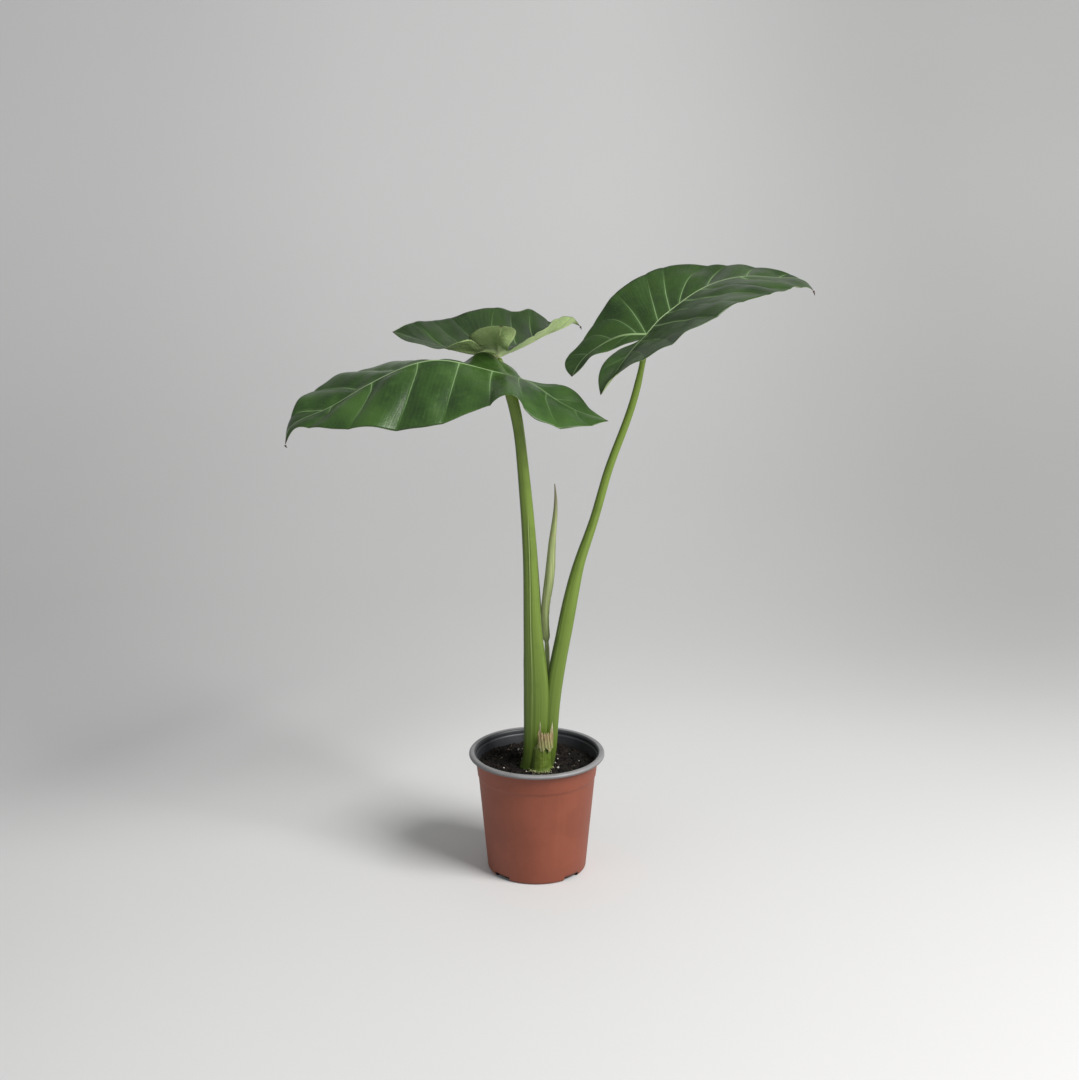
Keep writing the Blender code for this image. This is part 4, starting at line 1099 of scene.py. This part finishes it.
SHAPE_RIGHT = {
    "midrib": ((0, 0, 0), (0.08, 0.01, 0.06), (0.16, 0.02, 0.10), (0.31, 0.045, 0.16), (0.51, 0.06, 0.205),
               (0.69, 0.06, 0.205), (0.87, 0.05, 0.18), (1.00, 0.03, 0.15), (1.04, 0.02, 0.105)),
    "left": {
        "costa": ((0, 0, 0), (-0.10, 0.08, -0.01), (-0.19, 0.13, -0.06), (-0.27, 0.165, -0.13),
                  (-0.32, 0.17, -0.20)),
        "edge": ((-0.32, 0.17, -0.20), (-0.33, 0.21, -0.165), (-0.30, 0.24, -0.115), (-0.25, 0.24, -0.075),
                 (-0.16, 0.25, 0.01), (-0.10, 0.26, 0.06), (0.01, 0.27, 0.16), (0.10, 0.265, 0.215),
                 (0.19, 0.26, 0.25), (0.30, 0.26, 0.26), (0.46, 0.25, 0.26), (0.59, 0.23, 0.24),
                 (0.71, 0.20, 0.243), (0.83, 0.16, 0.225), (0.95, 0.08, 0.185), (1.04, 0.02, 0.105)),
        "sinus": ((-0.04, 0, -0.02), (-0.11, 0.033, -0.040), (-0.19, 0.075, -0.078), (-0.25, 0.105, -0.100),
                  (-0.28, 0.135, -0.150), (-0.32, 0.17, -0.20)),
        "crown": -0.005,
        "veins": ((-0.70, -0.80), (-0.40, -0.62), (-0.11, -0.48), (-0.01, -0.16), (0.08, 0.10), (0.16, 0.19),
                  (0.22, 0.45), (0.40, 0.54), (0.62, 0.69), (0.80, 0.86))},
    "right": {
        "costa": ((0, 0, 0), (-0.09, -0.06, -0.02), (-0.20, -0.13, -0.055), (-0.31, -0.18, -0.12),
                  (-0.40, -0.19, -0.21)),
        "edge": ((-0.40, -0.19, -0.21), (-0.395, -0.24, -0.15), (-0.36, -0.30, -0.08), (-0.26, -0.36, -0.01),
                 (-0.13, -0.39, 0.045), (0, -0.395, 0.095), (0.10, -0.39, 0.14), (0.19, -0.38, 0.17),
                 (0.29, -0.36, 0.185), (0.39, -0.335, 0.195), (0.51, -0.29, 0.19), (0.67, -0.21, 0.18),
                 (0.86, -0.09, 0.165), (1.04, 0.02, 0.105)),
        "sinus": ((-0.04, 0, -0.02), (-0.16, -0.043, -0.038), (-0.28, -0.093, -0.053),
                  (-0.34, -0.12, -0.082), (-0.385, -0.15, -0.14), (-0.40, -0.19, -0.21)),
        "crown": 0.012,
        "veins": ((-0.70, -0.80), (-0.42, -0.56), (-0.18, -0.32), (0.05, 0.075), (0.14, 0.24), (0.25, 0.44),
                  (0.36, 0.68), (0.58, 0.84))}}


def vein_phase(along, outward, veins):
    """Number that is whole on each side vein and grows by one from a vein to the next."""
    path = [rib + (edge - rib) * outward ** 1.4 for rib, edge in ((-1.25, -1.25), *veins, (1.15, 1.15))]
    return sum(np.clip((along - low) / (high - low), 0, 1) for low, high in zip(path[:-1], path[1:]))


def half_sheets(shape, side, length):
    """The two sheets of one half, outer and beside the notch, each as points, measures and faces.

    A sheet is ruled between a rib and an edge: along runs from the lobe's tip (-1) over the joint (0)
    to the blade's tip (1), and outward from the rib (0) to the edge (1). Straight rulings bow up by
    the crown. Its measures are along, outward, vein phase, metres per vein, metres from rib and from edge,
    and 1 on the outer sheet or 0 on the one beside the notch.
    """
    half = shape[side]
    along = np.concatenate([np.linspace(-1, 0, LOBE_ROWS + 1)[:-1], np.linspace(0, 1, TIP_ROWS + 1)])
    costa = through(half["costa"][::-1], 1 + along[:LOBE_ROWS + 1])
    midrib = through(shape["midrib"], along[LOBE_ROWS:])
    station = np.where(along < 0, LOBE_SHARE * (1 + along), LOBE_SHARE + (1 - LOBE_SHARE) * along)
    sinus = through(half["sinus"][::-1], 1 + along[:LOBE_ROWS + 1])
    made = []
    for name, inner, outer, where, columns in (
            ("main", np.vstack([costa[:-1], midrib]), through(half["edge"], station), along, BLADE_COLUMNS),
            ("sinus", costa, sinus, along[:LOBE_ROWS + 1], SINUS_COLUMNS)):
        outward = np.linspace(0, 1, columns + 1) ** 1.35
        points = inner[:, None] * (1 - outward)[None, :, None] + outer[:, None] * outward[None, :, None]
        span = np.linalg.norm(outer - inner, axis=1)
        crown = half["crown"] if name == "main" else 0.0
        points[..., 2] += (crown * span / span.max())[:, None] * (4 * outward * (1 - outward))[None, :]
        points = points * length
        ahead, aside = np.broadcast_arrays(where[:, None], outward[None, :])
        phase = ahead * 3.0 + 0.8 * aside + 0.5
        if name == "main":
            phase = vein_phase(ahead, aside, half["veins"])
        step = np.linalg.norm(np.gradient(points, axis=0), axis=-1)
        spacing = step / np.maximum(np.abs(np.gradient(phase, axis=0)), 0.004)
        width = np.broadcast_to((span * length)[:, None], ahead.shape)
        measures = np.stack([ahead, aside, phase, np.clip(spacing, 0.004, 0.05), aside * width,
                             (1 - aside) * width, np.full(ahead.shape, float(name == "main"))], axis=-1)
        flip = (side == "left") == (name == "main")
        made.append((points, measures, grid_quads(len(where), columns + 1, flip=flip)))
    return made


def placed(points, heading, joint):
    """Points turned about Z to a heading in degrees, and moved to the joint."""
    turn = math.radians(heading)
    spin = np.array([[math.cos(turn), math.sin(turn), 0], [-math.sin(turn), math.cos(turn), 0], [0, 0, 1]])
    return points @ spin + joint


def blade_mesh(name, shape, length, heading, joint, swell, ruffle, seed):
    """Closed blade: a middle sheet with its vein swell and edge ruffle, and a face to each side of it.

    The upper face dips at the veins and the lower face stands out there as ribs. Both faces close to
    nothing at the edge, where they meet.
    """
    sheets = [sheet for side in ("left", "right") for sheet in half_sheets(shape, side, length)]
    counts = np.cumsum([0] + [points.shape[0] * points.shape[1] for points, _, _ in sheets])
    points = np.concatenate([points.reshape(-1, 3) for points, _, _ in sheets])
    measures = np.concatenate([m.reshape(-1, 7) for _, m, _ in sheets])
    quads = np.concatenate([faces + first for (_, _, faces), first in zip(sheets, counts)])
    place_count, place = same_places(points)

    def normals(sheet_points):
        """Unit normals, averaged over all the faces that meet at a place."""
        p = sheet_points[quads]
        face = np.cross(p[:, 2] - p[:, 0], p[:, 3] - p[:, 1])
        total = np.zeros((place_count, 3))
        for corner in range(4):
            np.add.at(total, place[quads[:, corner]], face)
        return (total / np.maximum(np.linalg.norm(total, axis=1), 1e-15)[:, None])[place]

    def shared(values):
        """The mean of the values over all the points that meet at a place."""
        return (np.bincount(place, values, place_count) / np.bincount(place, minlength=place_count))[place]

    along, outward, phase, spacing, from_rib, from_edge, main = measures.T
    tip_window = np.clip((1 - np.abs(along)) / 0.22, 0, 1)
    rib_window = eased(np.clip(from_rib / 0.010, 0, 1))
    panel = np.abs(np.sin(math.pi * phase)) ** 0.8 - 0.62
    lift = swell * spacing * panel * rib_window * tip_window
    lift = lift * (0.35 + 0.65 * main) * (1 - 0.35 * outward ** 3)
    draw = np.random.default_rng(seed)
    edge_wave = sum(np.sin(along * k + draw.uniform(0, 6.3)) for k in (9.0, 17.0, 29.0)) / 3
    lift = lift + ruffle * edge_wave * outward ** 3 * tip_window * main
    drift = waves(points[:, 0], points[:, 1], ((0.050, 0.0008), (0.020, 0.0003)), 3, seed + 1)
    lift = shared(lift + drift * tip_window * np.clip(from_rib / 0.02, 0, 1))
    points = points + normals(points) * lift[:, None]
    normal = normals(points)

    size = np.clip(1 - np.abs(along), 0, 1)
    rib_width = 0.0006 + 0.0017 * size ** 0.8
    rib = np.exp(-(from_rib / rib_width) ** 2)
    from_vein = np.abs(phase - np.round(phase)) * spacing
    side_vein = np.exp(-(from_vein / 0.0007) ** 2) * np.clip(1.1 - outward, 0, 1) * main
    closing = np.clip(from_edge / 0.0012, 0, 1) ** 0.5 * np.clip((1 - np.abs(along)) / 0.012, 0, 1) ** 0.5
    closing = np.where(outward > 0.999999, 0.0, closing)
    top = (BLADE_THICKNESS / 2 + 0.00035 * rib * size ** 0.5 - 0.00012 * side_vein) * closing
    under = (BLADE_THICKNESS / 2 + 0.0020 * rib * size ** 0.7 + 0.00040 * side_vein) * closing
    top, under = (np.where(closing <= 0, 0.0, shared(offset)) for offset in (top, under))
    least = np.full(place_count, 1.0)
    np.minimum.at(least, place, closing)
    open_here = (least[place] > 0)[:, None]
    upper = points + normal * top[:, None] * open_here
    lower = points - normal * under[:, None] * open_here
    both = placed(np.concatenate([upper, lower]), heading, joint)
    faces = np.concatenate([quads, quads[:, ::-1] + len(points)])
    corner = np.concatenate([measures[quads], measures[quads[:, ::-1]]])
    maps = {"veins": corner[..., 2:4] * [1.0, 100.0], "width": corner[..., 4:6] * 100.0,
            "place": corner[..., :2]}
    return build_mesh(name, both, faces, maps, np.repeat([0, 1], len(quads)))


def leaf_colours(name, upper, painted_light_factor):
    """Leaf skin: base colour between the veins, pale veins, a fine net, a rim at the edge (a pale painted
    highlight on the upper face, darker on the under face) and a dry tip.

    The base colour is scaled for each blade: painted shade that darkens the back and right blades, and
    painted light that brightens the under face of the back blade.
    The map "veins" holds the vein phase and the centimetres from vein to vein, "width" the centimetres
    from the rib and from the edge, and "place" the place along and outward.
    """
    skin = Finish(name, Coat_Weight=0.10 if upper else 0.0, Coat_Roughness=0.25,
                  Specular_IOR_Level=0.42 if upper else 0.3)
    phase, spacing = skin.map("veins")
    from_rib, from_edge = skin.map("width")
    along, outward = skin.map("place")
    spot = skin.place()
    cloud = skin.noise(spot, 26.0, 4.0, 0.55)
    mottle = skin.noise(spot, 130.0, 4.0, 0.6)
    pores = skin.noise(spot, 1500.0, 2.0, 0.6)
    sway = skin.noise(spot, 55.0, 2.0) * 0.5
    reach = along.math("ABSOLUTE")
    from_vein = phase.from_whole() * spacing
    vein_width = 0.075 - outward * 0.045
    fading = outward.ramp(1.05, 0.35) * along.ramp(-0.55, 0.15).math("MAXIMUM", 0.35)
    vein = (from_vein / vein_width).ramp(1.25, 0.35) * fading
    halo = (from_vein / vein_width).ramp(6.0, 0.8) * fading
    rib_width = 0.150 - reach * 0.105
    rib = (from_rib / rib_width).ramp(1.15, 0.40) * along.ramp(-0.75, 0.05).math("MAXIMUM", 0.45)
    fine = (phase * 9.0 + sway * 3.0).from_whole().ramp(0.22, 0.03)
    net = skin.cells(spot, 330.0, "DISTANCE_TO_EDGE").ramp(0.10, 0.0)
    rim = from_edge.ramp(0.075, 0.02)
    dry = reach.ramp(0.955, 0.995)
    if upper:
        # Painted shade: the upper face's base colours are scaled for each blade.
        deep, clear, light = (tuple(painted_light_factor * channel for channel in colour) for colour in (
            (0.017, 0.050, 0.0075), (0.046, 0.112, 0.017), (0.070, 0.150, 0.030)))
        colour = skin.mix(deep, clear, cloud.ramp(0.30, 0.70))
        colour = skin.mix(colour, light, mottle.ramp(0.50, 0.76) * 0.35)
        colour = skin.mix(colour, (0.070, 0.145, 0.035), fine * 0.10 + net * 0.12)
        colour = skin.mix(colour, (0.085, 0.165, 0.050), halo * 0.28)
        colour = skin.mix(colour, (0.210, 0.330, 0.140), vein * 0.80)
        colour = skin.mix(colour, (0.270, 0.390, 0.180), rib * 0.95)
        # Painted highlight: a pale rim along the upper face's edge.
        colour = skin.mix(colour, (0.150, 0.215, 0.075), rim * 0.70)
        colour = skin.mix(colour, (0.045, 0.030, 0.020), dry)
        rough = 0.27 + mottle * 0.16 + vein * 0.08
        return skin.paint(colour, rough, mottle * 0.5 + pores * 0.08 - fine * 0.14 - net * 0.12, 0.0004, 0.6)
    # Painted light and shade: the under face's base colours are scaled for each blade, and the back blade's
    # are brightened.
    deep, clear = (tuple(painted_light_factor * channel for channel in colour) for colour in (
        (0.215, 0.300, 0.115), (0.310, 0.390, 0.175)))
    colour = skin.mix(deep, clear, cloud.ramp(0.30, 0.70))
    colour = skin.mix(colour, (0.360, 0.440, 0.225), fine * 0.20 + net * 0.15)
    colour = skin.mix(colour, (0.430, 0.500, 0.260), vein * 0.8)
    colour = skin.mix(colour, (0.460, 0.520, 0.270), rib)
    colour = skin.mix(colour, (0.090, 0.130, 0.045), rim * 0.7)
    colour = skin.mix(colour, (0.060, 0.042, 0.028), dry)
    return skin.paint(colour, 0.50 + mottle * 0.12, fine * 0.5 + net * 0.6 + pores * 0.1, 0.0004, 0.8)


def drip_tip(name, tip, ahead, hook, length):
    """A dry thread that leaves the blade's tip along ahead and bends towards hook, tapering to a point.

    Its line is tip + length (ahead (t - t^2 / 2) + 0.8 hook t^2), where ahead and hook are unit vectors.
    """
    share = np.linspace(0, 1, DRIP_RINGS)[:, None]
    ahead, hook = (np.asarray(direction) / np.linalg.norm(direction) for direction in (ahead, hook))
    centres = tip + length * (ahead * (share - share ** 2 / 2) + 0.8 * hook * share ** 2)
    across, behind = stalk_frame(centres)
    turn = full_turn(DRIP_SIDES)
    girth = DRIP_GIRTH * (1 - share) ** 0.8 * np.sqrt(np.clip(share / 0.10, 0, 1))
    girth = girth * (1 + 0.12 * np.sin(share * 40))
    points = centres[:, None] + girth[..., None] * (across[:, None] * np.cos(turn)[:, None]
                                                    + behind[:, None] * np.sin(turn)[:, None])
    return grid_mesh(name, points, wrap=True)


withered = Finish("dry_tip", Roughness=0.7)
tint = withered.noise(withered.place(), 600.0)
brown = withered.mix((0.030, 0.018, 0.012), (0.110, 0.070, 0.045), tint.ramp(0.35, 0.7))
dry_finish = withered.paint(brown, None, tint, 0.0003)
BLADES = (
    # side, shape, length, heading (degrees from +X), vein swell, edge ruffle, seed,
    # the drip tip's first and last direction and its length, and the factors of painted light and shade on
    # the upper and under face
    ("front", SHAPE_FRONT, 0.202, 188.0, 0.105, 0.0014, 21,
     (0.10, 0.0, -1.0), (0.90, 0.0, -0.6), 0.0025, (0.92, 1.0)),
    ("back", SHAPE_BACK, 0.166, 66.0, 0.060, 0.0006, 22,
     (0.6, 0.2, -1.0), (0.2, 0.0, -1.0), 0.0030, (0.48, 1.60)),
    ("right", SHAPE_RIGHT, 0.175, 33.0, 0.070, 0.0009, 23,
     (0.5, 0.1, -1.0), (0.2, 0.0, -1.0), 0.0040, (0.56, 1.0)))
for side, shape, length, heading, swell, ruffle, seed, ahead, hook, reach, painted_light_factors in BLADES:
    joint = tips[side] + np.array([0.0, 0.0, BLADE_THICKNESS / 2 + JOINT_GAP])
    blade = add_piece(blade_mesh("leaf_" + side, shape, length, heading, joint, swell, ruffle, seed),
                      leaf_colours("leaf_upper_green_" + side, True, painted_light_factors[0]),
                      leaf_colours("leaf_under_green_" + side, False, painted_light_factors[1]))
    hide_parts("leaf_blade_" + side)
    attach(blade, "root")
    tip = placed(np.array(shape["midrib"][-1]) * length, heading, joint)
    thread = add_piece(drip_tip("drip_tip_" + side, tip, ahead, hook, reach), dry_finish)
    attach(thread, "root")
